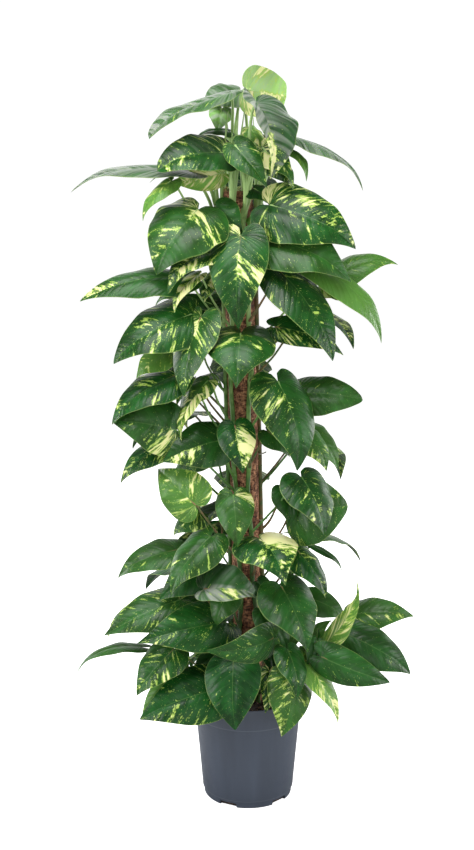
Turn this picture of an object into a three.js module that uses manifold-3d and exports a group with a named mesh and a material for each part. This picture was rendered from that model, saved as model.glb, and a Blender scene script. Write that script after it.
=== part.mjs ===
// Golden pothos trained up a coir pole in a nursery pot.
// Millimetres, +Z up. The origin is the centre of the pot's underside, X runs left to right
// and +Y is the rear. The pole leans slightly to the left as it rises.
import * as THREE from "three";
import { mergeVertices } from "three/addons/utils/BufferGeometryUtils.js";
import Module from "manifold-3d";

const wasm = await Module();
wasm.setup();

// Driving dimensions.
const GAP = 0.3; // clearance between pieces that rest on each other
const POT_HEIGHT = 212;
const POT_TOP_RADIUS = 109;
const POT_BODY_RADIUS = 91; // just above the foot
const POT_FOOT_RADIUS = 88;
const POT_FOOT_HEIGHT = 14;
const POT_RIM_BAND = 44; // height of the thicker band below the rim
const POT_WALL = 1.8;
const POT_FLOOR = 2.5;
const DRAIN_NOTCHES = 5; // open at the foot's lower edge
const DRAIN_NOTCH_WIDTH = 36;
const DRAIN_NOTCH_HEIGHT = 9;
const DRAIN_NOTCH_DEPTH = 8; // inwards from the foot's outside
const DRAIN_FIRST_ANGLE = -117; // degrees from +X
const SOIL_TOP = 197;
const POLE_TOP = 1196;
const POLE_LEAN = 1.41; // degrees to the left
const POLE_FOOT_X = 8; // pole axis at floor level
const SLEEVE_RADIUS = 28;
const SLEEVE_BOTTOM = 150;
const CORE_RADIUS = 12;
const CORE_BOTTOM = 20;
const VINE_RADIUS = 5;
const VINE_TOP = 1165;
const VINE_BEARINGS = [-155, -95, -32, 24, 88, 150]; // degrees from the front, + to the right
const VINE_SWING = 9; // degrees that a vine wanders to each side
const VINE_STEP = 50; // height between the points of a vine's path
const PETIOLE_RADIUS = 1.9;
const PETIOLE_OVERLAP = 6; // how far a petiole runs on under its blade
const BLADE_THICKNESS = 1.3;
const TIE_HEIGHTS = [565, 695];
const TIE_VINE = 4;
const TIE_RADIUS = 0.8;
const TIE_HALF_TURN = 118; // degrees round the stem to each side
const TIE_STEPS = 12;

const SIDES = { pot: 48, pole: 24, vine: 8, petiole: 5, tie: 6 };
const UP = new THREE.Vector3(0, 0, 1);

const COLOURS = {
  pot: 0x4a5260,
  soil: 0x2e231b,
  coir: 0x6d4530,
  core: 0x9b7b55,
  vine: 0x2f6a2c,
  tie: 0xe8e6df,
};

const rad = THREE.MathUtils.degToRad;

function material(colour, roughness) {
  return new THREE.MeshStandardMaterial({ color: colour, roughness, metalness: 0 });
}

function mesh(name, geometry, colour, roughness) {
  const piece = new THREE.Mesh(geometry, material(colour, roughness));
  piece.name = name;
  return piece;
}

// ---- solids, joined and cut -------------------------------------------------------------

function toSolid(geometry) {
  const bare = geometry.clone();
  bare.deleteAttribute("normal");
  bare.deleteAttribute("uv");
  const merged = mergeVertices(bare, 1e-4);
  const vertProperties = new Float32Array(merged.attributes.position.array);
  const triVerts = new Uint32Array(withoutSlivers(merged.index.array));
  return new wasm.Manifold(new wasm.Mesh({ numProp: 3, vertProperties, triVerts }));
}

// A triangle whose corners were merged into one is left out.
function withoutSlivers(index) {
  const kept = [];
  for (let i = 0; i < index.length; i += 3) {
    const [a, b, c] = [index[i], index[i + 1], index[i + 2]];
    if (a !== b && b !== c && c !== a) kept.push(a, b, c);
  }
  return kept;
}

function toGeometry(solid) {
  const { vertProperties, triVerts } = solid.getMesh();
  const geometry = new THREE.BufferGeometry();
  geometry.setAttribute("position", new THREE.BufferAttribute(new Float32Array(vertProperties), 3));
  geometry.setIndex(new THREE.BufferAttribute(new Uint32Array(triVerts), 1));
  geometry.computeVertexNormals();
  return geometry;
}

// A turned profile in (radius, height) pairs, standing along +Z.
function turned(profile, sides) {
  const points = profile.map(([radius, height]) => new THREE.Vector2(radius, height));
  return new THREE.LatheGeometry(points, sides).rotateX(Math.PI / 2);
}

// A round bar along a smooth path.
function bar(points, radius, sides, steps) {
  const section = new THREE.Shape();
  for (let i = 0; i < sides; i++) {
    const angle = (2 * Math.PI * i) / sides;
    const [x, y] = [radius * Math.cos(angle), radius * Math.sin(angle)];
    if (i === 0) section.moveTo(x, y);
    else section.lineTo(x, y);
  }
  section.closePath();
  const extrudePath = new THREE.CatmullRomCurve3(points, false, "centripetal");
  return new THREE.ExtrudeGeometry(section, { steps, extrudePath, curveSegments: 1 });
}

// ---- pot: one thin moulded shell with a thicker rim band and drain notches ---------------

function pot() {
  const bandBottom = POT_HEIGHT - POT_RIM_BAND;
  const slope = (POT_TOP_RADIUS - POT_BODY_RADIUS) / (POT_HEIGHT - POT_FOOT_HEIGHT);
  const body = (z) => POT_BODY_RADIUS + slope * (z - POT_FOOT_HEIGHT);
  const inner = (z) => body(z) - POT_WALL;
  const profile = [
    [0, 0],
    [POT_FOOT_RADIUS - 1, 0],
    [POT_FOOT_RADIUS, 1],
    [POT_FOOT_RADIUS + 0.6, POT_FOOT_HEIGHT - 1],
    [POT_BODY_RADIUS, POT_FOOT_HEIGHT],
    [body(bandBottom) - 0.6, bandBottom - 0.5],
    [body(bandBottom) + 0.4, bandBottom + 0.5],
    [POT_TOP_RADIUS - 0.2, POT_HEIGHT - 3],
    [POT_TOP_RADIUS + 0.6, POT_HEIGHT - 2],
    [POT_TOP_RADIUS + 0.6, POT_HEIGHT - 0.6],
    [POT_TOP_RADIUS - 0.4, POT_HEIGHT],
    [POT_TOP_RADIUS - POT_WALL, POT_HEIGHT],
    [inner(POT_HEIGHT - 3), POT_HEIGHT - 3],
    [inner(POT_FOOT_HEIGHT + 2), POT_FOOT_HEIGHT + 2],
    [POT_FOOT_RADIUS - POT_WALL, POT_FOOT_HEIGHT - 1],
    [POT_FOOT_RADIUS - POT_WALL - 1, POT_FLOOR],
    [0, POT_FLOOR],
  ];
  let shell = toSolid(turned(profile, SIDES.pot));
  for (let i = 0; i < DRAIN_NOTCHES; i++) {
    const notch = new THREE.BoxGeometry(2 * DRAIN_NOTCH_DEPTH, DRAIN_NOTCH_WIDTH, 2 * DRAIN_NOTCH_HEIGHT);
    notch.translate(POT_FOOT_RADIUS, 0, 0);
    notch.rotateZ(rad(DRAIN_FIRST_ANGLE + (360 / DRAIN_NOTCHES) * i));
    shell = shell.subtract(toSolid(notch));
  }
  return toGeometry(shell);
}

// ---- pole: a wooden core in a sleeve of coir, leaning a little ---------------------------

const lean = new THREE.Matrix4()
  .makeTranslation(POLE_FOOT_X, 0, 0)
  .multiply(new THREE.Matrix4().makeRotationY(-rad(POLE_LEAN)));

const poleX = (z) => POLE_FOOT_X - Math.tan(rad(POLE_LEAN)) * z;

function poleCore() {
  const profile = [[0, CORE_BOTTOM], [CORE_RADIUS - 1.5, CORE_BOTTOM], [CORE_RADIUS, CORE_BOTTOM + 4],
    [CORE_RADIUS, POLE_TOP - 6], [0, POLE_TOP - 6]];
  return turned(profile, SIDES.pole / 2).applyMatrix4(lean);
}

function coirSleeve() {
  const hole = CORE_RADIUS + GAP;
  const profile = [[hole, SLEEVE_BOTTOM], [SLEEVE_RADIUS, SLEEVE_BOTTOM], [SLEEVE_RADIUS, POLE_TOP - 7],
    [SLEEVE_RADIUS - 3, POLE_TOP - 2], [hole + 5, POLE_TOP], [hole, POLE_TOP - 2],
    [hole, SLEEVE_BOTTOM]];
  return turned(profile, SIDES.pole).applyMatrix4(lean);
}

function soil() {
  const slope = (POT_TOP_RADIUS - POT_BODY_RADIUS) / (POT_HEIGHT - POT_FOOT_HEIGHT);
  const wall = (z) => POT_BODY_RADIUS + slope * (z - POT_FOOT_HEIGHT) - POT_WALL - 2 * GAP;
  const foot = POT_FOOT_RADIUS - POT_WALL - 4 * GAP - 1;
  const profile = [[0, POT_FLOOR + GAP], [foot, POT_FLOOR + GAP], [foot, POT_FOOT_HEIGHT],
    [wall(POT_FOOT_HEIGHT + 6), POT_FOOT_HEIGHT + 6], [wall(SOIL_TOP), SOIL_TOP], [0, SOIL_TOP]];
  const coreHole = turned([[0, CORE_BOTTOM - GAP], [CORE_RADIUS + GAP, CORE_BOTTOM - GAP],
    [CORE_RADIUS + GAP, POT_HEIGHT], [0, POT_HEIGHT]], SIDES.pole / 2).applyMatrix4(lean);
  const sleeveHole = turned([[0, SLEEVE_BOTTOM - GAP], [SLEEVE_RADIUS + 2 * GAP, SLEEVE_BOTTOM - GAP],
    [SLEEVE_RADIUS + 2 * GAP, POT_HEIGHT], [0, POT_HEIGHT]], SIDES.pole).applyMatrix4(lean);
  return toGeometry(toSolid(turned(profile, SIDES.pot))
    .subtract(toSolid(coreHole))
    .subtract(toSolid(sleeveHole)));
}

// ---- vines: climbing stems that hug the sleeve -------------------------------------------

function bearingVector(bearing) {
  return new THREE.Vector3(Math.sin(rad(bearing)), -Math.cos(rad(bearing)), 0);
}

function vineBearing(vine, z) {
  return VINE_BEARINGS[vine] + VINE_SWING * Math.sin(z / 105 + 1.7 * vine);
}

function vinePoint(vine, z, offset = 0) {
  const reach = SLEEVE_RADIUS + GAP + VINE_RADIUS + offset;
  return bearingVector(vineBearing(vine, z)).multiplyScalar(reach)
    .add(new THREE.Vector3(poleX(z), 0, z));
}

function vineStem(number) {
  const bottom = SOIL_TOP + GAP;
  const steps = Math.round((VINE_TOP - bottom) / VINE_STEP);
  const points = [];
  for (let i = 0; i <= steps; i++) points.push(vinePoint(number, bottom + ((VINE_TOP - bottom) * i) / steps));
  return bar(points, VINE_RADIUS, SIDES.vine, steps);
}

// ---- leaves: a heart-shaped blade on a petiole that springs from one of the vines ---------
//
// Half the blade's outline, from the notch behind the petiole round to the tip, as
// (distance along the blade / its length, distance from the midrib / half its width).
const OUTLINE = [[-0.10, 0.10], [-0.15, 0.38], [-0.10, 0.70], [0.04, 0.93], [0.22, 1.0], [0.42, 0.9],
  [0.61, 0.64], [0.79, 0.32], [0.91, 0.12], [1.0, 0.0]];
const outline = new THREE.SplineCurve(OUTLINE.map(([along, across]) => new THREE.Vector2(along, across)));
const ROWS = [0, 0.16, 0.33, 0.45, 0.59, 0.74, 0.88];
const VEIN_SWEEP = 0.34; // how far a side vein runs forward, per half width

// Each leaf: where its blade starts and ends, its width, its roll about its own length in
// degrees, how much the midrib arches, and how far the two halves fold up. It grows on the
// vine that is nearest round the pole unless a vine is named, and its petiole starts a little
// below the blade unless a rise is given. A lobe over 1 lengthens the lobes behind the notch.
const leaf = (base, tip, width, roll, arch, fold, more = {}) =>
  ({ base, tip, width, roll, arch, fold, ...more });

const LEAVES = [
  // Crown, above the pole.
  leaf([-12, -8, 1383], [68, 26, 1359], 92, -95, 0.10, 0.10, { vine: 5 }),
  leaf([-34, -42, 1367], [-184, -100, 1300], 88, 0, 0.02, 0.32, { vine: 0 }),
  leaf([-40, -50, 1263], [-160, -110, 1243], 98, -32, 0.08, 0.25, { vine: 1 }),
  leaf([12, -66, 1350], [56, -120, 1216], 128, -14, 0.10, 0.35, { vine: 3 }),
  leaf([74, 15, 1297], [218, -35, 1210], 80, 12, 0.08, 0.20, { vine: 4 }),
  leaf([-108, -40, 1230], [-333, -20, 1210], 105, -5, 0.07, 0.12, { rise: 130 }),
  // Upper tier.
  leaf([-84, -70, 1162], [-162, -130, 1056], 148, -30, 0.10, 0.20),
  leaf([-15, -95, 1114], [-22, -140, 952], 105, 0, 0.08, 0.15, { vine: 2 }),
  leaf([38, -70, 1170], [195, -100, 1100], 125, 45, 0.10, 0.25),
  leaf([26, -60, 1105], [185, -110, 1042], 120, 40, 0.14, 0.20, { vine: 3 }),
  leaf([55, -75, 1052], [155, -130, 895], 110, 20, 0.10, 0.15),
  leaf([127, -60, 1055], [252, -60, 920], 75, 40, 0.16, 0.15),
  leaf([-118, -72, 1040], [-310, -90, 1000], 88, -25, 0.08, 0.15),
  // Middle tier.
  leaf([-105, -75, 972], [-249, -120, 892], 120, -35, 0.10, 0.20),
  leaf([-15, -97, 939], [-24, -178, 853], 130, 0, 0.14, 0.15, { lobe: 2.3 }),
  leaf([-135, -75, 859], [-255, -120, 780], 95, -25, 0.10, 0.20),
  leaf([-141, -90, 757], [-253, -120, 780], 105, -60, 0.08, 0.15),
  leaf([-50, -70, 735], [-159, -110, 703], 95, -45, 0.10, 0.15),
  leaf([54, -90, 849], [96, -140, 694], 120, 10, 0.10, 0.15),
  leaf([93, -40, 819], [214, -60, 812], 86, 50, 0.08, 0.15),
  leaf([99, -90, 668], [141, -130, 569], 108, 10, 0.10, 0.15),
  leaf([-100, -110, 620], [-176, -60, 680], 95, -20, 0.08, 0.15),
  leaf([-72, -100, 556], [-150, -140, 460], 90, -15, 0.10, 0.15),
  // Lower tier.
  leaf([-138, -50, 516], [-254, -70, 475], 75, -30, 0.08, 0.20),
  leaf([20, -95, 552], [68, -180, 495], 126, 5, 0.12, 0.15),
  leaf([62, -100, 459], [112, -160, 351], 115, 10, 0.10, 0.15),
  leaf([140, -60, 316], [216, -124, 477], 58, 0, 0.05, 0.40, { rise: 100 }),
  leaf([211, 20, 363], [332, 10, 368], 75, 50, 0.08, 0.15),
  leaf([190, -50, 347], [324, -60, 272], 95, 45, 0.10, 0.15),
  leaf([139, -118, 325], [270, -130, 278], 70, 45, 0.08, 0.15, { vine: 3 }),
  leaf([112, -104, 316], [184, -150, 205], 65, 5, 0.08, 0.15, { vine: 3 }),
  leaf([82, -115, 288], [64, -150, 177], 90, 0, 0.10, 0.15),
  leaf([-29, -120, 316], [-26, -165, 198], 108, 0, 0.10, 0.15),
  leaf([-55, -110, 258], [-206, -150, 214], 114, -40, 0.10, 0.15),
  leaf([-142, -110, 338], [-212, -150, 262], 82, -30, 0.10, 0.15),
  leaf([-211, -60, 324], [-340, -60, 274], 45, 0, 0.15, 0.20),
  leaf([-43, -80, 381], [-208, -150, 366], 110, -35, 0.10, 0.15),
  leaf([-132, -70, 422], [-276, -110, 366], 95, -35, 0.10, 0.15),
  // Rear, from the top down.
  leaf([10, 60, 1300], [60, 190, 1230], 100, 0, 0.10, 0.20),
  leaf([-60, 60, 1150], [-150, 160, 1075], 105, 0, 0.10, 0.20),
  leaf([40, 85, 1110], [120, 210, 1010], 115, 0, 0.10, 0.15),
  leaf([-60, 85, 1010], [-120, 215, 900], 115, 0, 0.10, 0.15),
  leaf([90, 60, 978], [220, 130, 900], 105, 0, 0.10, 0.20),
  leaf([-15, 95, 880], [-5, 225, 770], 120, 0, 0.10, 0.15),
  leaf([-110, 60, 765], [-240, 130, 690], 110, 0, 0.10, 0.20),
  leaf([105, 80, 720], [205, 190, 620], 115, 0, 0.10, 0.15),
  leaf([-10, 95, 640], [-30, 230, 540], 115, 0, 0.10, 0.15),
  leaf([100, 60, 520], [240, 130, 450], 105, 0, 0.10, 0.20),
  leaf([-95, 80, 450], [-220, 190, 370], 110, 0, 0.10, 0.15),
  leaf([20, 105, 380], [50, 240, 280], 120, 0, 0.10, 0.15),
];

function bladePoint(row, frame, along, across) {
  const half = row.width / 2;
  const ahead = along < 0 ? along * (row.lobe ?? 1) : along;
  const rise = row.arch * frame.length * 4 * ahead * (1 - ahead);
  const lift = half * (row.fold * Math.abs(across) - 0.3 * across * across);
  return frame.base.clone()
    .addScaledVector(frame.ahead, ahead * frame.length)
    .addScaledVector(frame.normal, rise + lift)
    .addScaledVector(frame.right, across * half);
}

function bladeFrame(row) {
  const base = new THREE.Vector3(...row.base);
  const tip = new THREE.Vector3(...row.tip);
  const ahead = tip.clone().sub(base);
  const length = ahead.length();
  ahead.normalize();
  const middle = base.clone().add(tip).multiplyScalar(0.5);
  const outward = new THREE.Vector3(middle.x - poleX(middle.z), middle.y, 0).normalize();
  const normal = outward.multiplyScalar(0.6).addScaledVector(UP, 0.8);
  normal.addScaledVector(ahead, -normal.dot(ahead)).normalize();
  normal.applyAxisAngle(ahead, rad(row.roll));
  const right = ahead.clone().cross(normal);
  return { base, tip, ahead, length, normal, right };
}

function blade(row, frame) {
  const positions = [];
  const index = [];
  const corner = (along, across, side) => {
    const point = bladePoint(row, frame, along, across)
      .addScaledVector(frame.normal, (side * BLADE_THICKNESS) / 2);
    positions.push(point.x, point.y, point.z);
    return positions.length / 3 - 1;
  };
  const quad = (a, b, c, d) => index.push(a, b, c, a, c, d);
  // One half: rows of (midrib, middle, margin) corners, top and underside.
  for (const hand of [1, -1]) {
    const rows = ROWS.map((t) => {
      const { x: along, y: across } = outline.getPoint(t);
      const start = Math.max(0, along - VEIN_SWEEP * across);
      const middle = (start + along) / 2 - 0.03 * across;
      return [[start, 0], [middle, across / 2], [along, across]]
        .map(([s, w]) => ({ top: corner(s, w * hand, 1), under: corner(s, w * hand, -1) }));
    });
    const end = { top: corner(1, 0, 1), under: corner(1, 0, -1) };
    rows.push([end, end, end]);
    const face = (a, b, c, d) => {
      if (hand > 0) {
        quad(a.top, b.top, c.top, d.top);
        quad(a.under, d.under, c.under, b.under);
      } else {
        quad(a.top, d.top, c.top, b.top);
        quad(a.under, b.under, c.under, d.under);
      }
    };
    const edge = (a, b) => {
      if (hand > 0) quad(a.top, a.under, b.under, b.top);
      else quad(b.top, b.under, a.under, a.top);
    };
    edge(rows[0][0], rows[0][1]);
    edge(rows[0][1], rows[0][2]);
    for (let i = 0; i + 1 < rows.length; i++) {
      const [near, far] = [rows[i], rows[i + 1]];
      face(near[0], near[1], far[1], far[0]);
      face(near[1], near[2], far[2], far[1]);
      edge(near[2], far[2]);
    }
  }
  const geometry = new THREE.BufferGeometry();
  geometry.setAttribute("position", new THREE.Float32BufferAttribute(positions, 3));
  geometry.setIndex(index);
  return geometry;
}

// Where a leaf's petiole starts: the height of its node and the vine it grows on.
function leafNode(row) {
  const [x, y, z] = row.base;
  const side = new THREE.Vector2(x - poleX(z), y);
  const bearing = THREE.MathUtils.radToDeg(Math.atan2(side.x, -side.y));
  const rise = row.rise ?? 20 + 0.75 * side.length();
  const height = THREE.MathUtils.clamp(z - rise, SOIL_TOP + 16, VINE_TOP - 12);
  const apart = (vine) => Math.abs(THREE.MathUtils.euclideanModulo(
    vineBearing(vine, height) - bearing + 180, 360) - 180);
  const nearest = VINE_BEARINGS.map((_, vine) => vine).sort((a, b) => apart(a) - apart(b))[0];
  return { height, vine: row.vine ?? nearest };
}

// The petiole leaves the vine squarely, then rises and arches over to the blade.
function petiole(row, frame, node) {
  const start = vinePoint(node.vine, node.height);
  const out = bearingVector(vineBearing(node.vine, node.height));
  const end = bladePoint(row, frame, PETIOLE_OVERLAP / frame.length, 0);
  const span = end.distanceTo(start);
  const points = [
    start,
    start.clone().addScaledVector(out, VINE_RADIUS + 7).addScaledVector(UP, 1.5),
    start.clone().lerp(end, 0.5).addScaledVector(UP, 0.06 * span).addScaledVector(out, 0.07 * span),
    end,
  ];
  return bar(points, PETIOLE_RADIUS, SIDES.petiole, 7);
}

// A vine is one grown piece: its stem with all its petioles and blades.
function vine(number, rows) {
  let solid = toSolid(vineStem(number));
  for (const row of rows) {
    const frame = bladeFrame(row);
    solid = solid.add(toSolid(blade(row, frame))).add(toSolid(petiole(row, frame, leafNode(row))));
  }
  return toGeometry(solid);
}

// ---- ties: wire bent round one stem to hold it to the pole --------------------------------

function stemTie(height) {
  const centre = vinePoint(TIE_VINE, height);
  const reach = VINE_RADIUS + GAP + TIE_RADIUS;
  const points = [];
  for (let i = 0; i <= TIE_STEPS; i++) {
    const turn = (2 * i / TIE_STEPS - 1) * TIE_HALF_TURN;
    points.push(bearingVector(vineBearing(TIE_VINE, height) + turn).multiplyScalar(reach).add(centre));
  }
  return bar(points, TIE_RADIUS, SIDES.tie, TIE_STEPS);
}

// ---- assembly ------------------------------------------------------------------------------

const plant = new THREE.Group();
plant.add(mesh("nursery_pot", pot(), COLOURS.pot, 0.45));
plant.add(mesh("potting_soil", soil(), COLOURS.soil, 1));
plant.add(mesh("pole_core", poleCore(), COLOURS.core, 0.8));
plant.add(mesh("coir_sleeve", coirSleeve(), COLOURS.coir, 1));
VINE_BEARINGS.forEach((_, i) => {
  const rows = LEAVES.filter((row) => leafNode(row).vine === i);
  plant.add(mesh(`vine_${i + 1}`, vine(i, rows), COLOURS.vine, 0.4));
});
TIE_HEIGHTS.forEach((height, i) => {
  plant.add(mesh(`stem_tie_${i + 1}`, stemTie(height), COLOURS.tie, 0.5));
});

export default plant;
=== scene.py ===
import math
import random

import bmesh
import bpy
import numpy as np
from mathutils import Matrix, Vector, noise
from mathutils.bvhtree import BVHTree


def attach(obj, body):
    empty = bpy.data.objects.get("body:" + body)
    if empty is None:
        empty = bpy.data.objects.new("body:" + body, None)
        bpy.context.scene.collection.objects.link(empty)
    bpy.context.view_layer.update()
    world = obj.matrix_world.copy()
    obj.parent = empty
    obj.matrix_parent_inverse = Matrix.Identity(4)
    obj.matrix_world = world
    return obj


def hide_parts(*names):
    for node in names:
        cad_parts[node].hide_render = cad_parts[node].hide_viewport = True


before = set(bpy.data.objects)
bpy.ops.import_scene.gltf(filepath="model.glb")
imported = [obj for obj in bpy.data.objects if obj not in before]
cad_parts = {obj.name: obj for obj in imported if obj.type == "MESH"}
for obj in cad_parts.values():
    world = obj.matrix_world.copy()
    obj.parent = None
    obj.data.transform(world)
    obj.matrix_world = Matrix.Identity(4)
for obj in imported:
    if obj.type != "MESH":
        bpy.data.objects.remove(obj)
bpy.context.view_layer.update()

# ---- Nursery pot ----------------------------------------------------------------------------
# A thin tapered pot of slate-grey polypropylene, injection moulded in one piece, with a thicker
# band under the rim and drain notches round the foot.

POT_PROFILE = [  # radius and height, up the outside from the foot, over the rim and down the inside
    (0.0862, 0.0), (0.0872, 0.0003), (0.0879, 0.0012), (0.0886, 0.0125), (0.0892, 0.0136),
    (0.0908, 0.0143), (0.0912, 0.0152), (0.0955, 0.066), (0.1002, 0.118), (0.10435, 0.1660),
    (0.10455, 0.1672), (0.10500, 0.1679), (0.10540, 0.1688), (0.1072, 0.190), (0.10885, 0.2088),
    (0.10915, 0.2094), (0.10950, 0.2100), (0.10955, 0.2108), (0.10940, 0.2116), (0.1090, 0.2120),
    (0.1080, 0.2120), (0.1073, 0.2116), (0.1070, 0.2108), (0.1068, 0.2080), (0.1032, 0.168),
    (0.0985, 0.118), (0.0937, 0.066), (0.0894, 0.018), (0.0866, 0.0128), (0.0855, 0.0035),
    (0.0845, 0.0025),
]
WALL_SIDES = 128
FOOT_RADIUS = 0.088
DRAIN_NOTCHES = 5
DRAIN_WIDTH = 0.036
DRAIN_HEIGHT = 0.009
DRAIN_DEPTH = 0.008  # inwards from the foot's outside
FIRST_DRAIN = -117  # degrees from +X
RIDGES = (0.0150, 0.1690)  # above the foot, and under the rim band


def linear(hex_colour):
    """An sRGB hex colour as the linear RGBA that a socket takes."""
    parts = [int(hex_colour[i:i + 2], 16) / 255 for i in (1, 3, 5)]
    return tuple(p / 12.92 if p <= 0.04045 else ((p + 0.055) / 1.055) ** 2.4 for p in parts) + (1.0,)


def add_node(tree, kind, inputs=None, **settings):
    """Adds a shader node with its settings. An input takes a value, a hex colour, a socket, or a
    node, which gives its first output in use."""
    made = tree.nodes.new("ShaderNode" + kind)
    for name, value in settings.items():
        setattr(made, name, value)
    for name, value in (inputs or {}).items():
        if isinstance(value, bpy.types.Node):
            value = next(socket for socket in value.outputs if socket.enabled)
        if isinstance(value, bpy.types.NodeSocket):
            tree.links.new(value, made.inputs[name])
        else:
            made.inputs[name].default_value = linear(value) if isinstance(value, str) else value
    return made


def new_material(name):
    """A material and its empty tree."""
    made = bpy.data.materials.new(name)
    made.use_nodes = True
    made.node_tree.nodes.clear()
    return made, made.node_tree


def select_only(*objects):
    """Deselects everything but these, and makes the first of them the active one."""
    bpy.ops.object.select_all(action="DESELECT")
    for one in objects:
        one.select_set(True)
    if objects:
        bpy.context.view_layer.objects.active = objects[0]


def edit_select(piece, mode, test):
    """In edit mode, selects the edges or the faces that pass the test."""
    bpy.ops.mesh.select_all(action="DESELECT")
    bpy.ops.mesh.select_mode(type=mode)
    shape = bmesh.from_edit_mesh(piece.data)
    for part in shape.edges if mode == "EDGE" else shape.faces:
        if test(part):
            part.select = True
    shape.select_flush_mode()
    bmesh.update_edit_mesh(piece.data)


def settle(piece, name, node, slot_name, *materials):
    """Names a finished piece, gives it its materials if it has none yet, and ties it to the frame."""
    piece.name = piece.data.name = name
    if materials:
        piece.data.materials.clear()
        for one in materials:
            piece.data.materials.append(one)
    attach(piece, "root")
    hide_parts(node)


def draw_up(profile):
    """Draws the selected ring, which stands at the first place, on through the others."""
    for (radius, height), (next_radius, next_height) in zip(profile, profile[1:]):
        bpy.ops.mesh.extrude_edges_move(
            TRANSFORM_OT_translate={"value": (0, 0, next_height - height)})
        grow = next_radius / radius
        bpy.ops.transform.resize(value=(grow, grow, 1), center_override=(0, 0, 0))


# The floor starts as a disc. The wall is drawn up from its edge ring by ring and back down the
# inside, and the last ring closes in on the centre.
select_only()
bpy.ops.mesh.primitive_circle_add(
    vertices=WALL_SIDES, radius=POT_PROFILE[0][0], fill_type="TRIFAN")
pot = bpy.context.object
bpy.ops.object.mode_set(mode="EDIT")
edit_select(pot, "EDGE", lambda edge: len(edge.link_faces) == 1)
draw_up(POT_PROFILE)
bpy.ops.mesh.extrude_edges_move(TRANSFORM_OT_translate={"value": (0, 0, 0)})
bpy.ops.mesh.merge(type="CENTER")
bpy.ops.mesh.select_all(action="SELECT")
bpy.ops.mesh.normals_make_consistent(inside=False)
bpy.ops.object.mode_set(mode="OBJECT")

# Each drain notch is a low opening in the foot, open at its lower edge.
for i in range(DRAIN_NOTCHES):
    turn = math.radians(FIRST_DRAIN + 360 / DRAIN_NOTCHES * i)
    select_only()
    bpy.ops.mesh.primitive_cube_add(
        size=1, scale=(2 * DRAIN_DEPTH, DRAIN_WIDTH, 2 * DRAIN_HEIGHT), rotation=(0, 0, turn),
        location=(FOOT_RADIUS * math.cos(turn), FOOT_RADIUS * math.sin(turn), 0))
    cutter = bpy.context.object
    bevel = cutter.modifiers.new("Round corners", "BEVEL")
    bevel.width = 0.0015
    bevel.segments = 3
    bpy.ops.object.modifier_apply(modifier=bevel.name)
    select_only(pot)
    cut = pot.modifiers.new("Drain notch", "BOOLEAN")
    cut.object = cutter
    cut.solver = "EXACT"
    bpy.ops.object.modifier_apply(modifier=cut.name)
    bpy.data.objects.remove(cutter)
select_only(pot)
bpy.ops.object.shade_smooth_by_angle(angle=math.radians(32))

# Moulded polypropylene: satin, with a fine 1 mm grain, streaked every 25 mm or so where the melt
# ran up the wall, scuffed in patches of 18 mm, and paler where its ridges are rubbed.
moulded_grey, tree = new_material("moulded slate polypropylene")
place = add_node(tree, "TexCoord").outputs["Object"]
streak_place = add_node(tree, "Mapping", {"Vector": place, "Scale": (40, 40, 3)})
streaks = add_node(tree, "TexNoise", {"Vector": streak_place, "Scale": 1.0, "Detail": 3.0})
scuffs = add_node(tree, "TexNoise", {"Vector": place, "Scale": 55.0, "Detail": 6.0, "Roughness": 0.7})
tint = add_node(tree, "Mix", {0: streaks, 6: "#29313f", 7: "#3b4555"}, data_type="RGBA")
roughness = add_node(tree, "MapRange", {
    "Value": scuffs, "From Min": 0.3, "From Max": 0.75, "To Min": 0.32, "To Max": 0.5})
axes = add_node(tree, "SeparateXYZ", {"Vector": place})
for ridge in RIDGES:
    from_ridge = add_node(tree, "Math", {0: axes.outputs["Z"], 1: ridge}, operation="SUBTRACT")
    away = add_node(tree, "Math", {0: from_ridge}, operation="ABSOLUTE")
    worn = add_node(tree, "MapRange", {
        "Value": away, "From Min": 0.0002, "From Max": 0.0012, "To Min": 0.24, "To Max": 0.0})
    tint = add_node(tree, "Mix", {0: worn, 6: tint, 7: "#77808c"}, data_type="RGBA")
grain = add_node(tree, "TexNoise", {"Vector": place, "Scale": 900.0, "Detail": 2.0})
grain_bump = add_node(tree, "Bump", {"Height": grain, "Strength": 0.12, "Distance": 0.0004})
shader = add_node(tree, "BsdfPrincipled", {
    "Base Color": tint, "Roughness": roughness, "IOR": 1.6, "Normal": grain_bump})
add_node(tree, "OutputMaterial", {"Surface": shader})
settle(pot, "nursery_pot_shell", "nursery_pot", "pot", moulded_grey)

# ---- Potting mix ----------------------------------------------------------------------------
# Dark peat mix that fills the pot to a finger's width below the rim: pressed lumps, crumbs and
# a few slivers of bark, loose on top.

SOIL_TOP = 0.197
SOIL_FOOT = 0.0028
SOIL_RADIUS = 0.1052  # at its top
SOIL_FOOT_RADIUS = 0.0839
SOIL_RINGS = 32
SOIL_RING_WIDTH = 0.0031
LUMPS_PER_METRE = 70
LUMP_LIMIT = 0.004  # above and below the top
CRUMBS = 520
CRUMB_REACH = 0.1  # from the pot's axis

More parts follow.
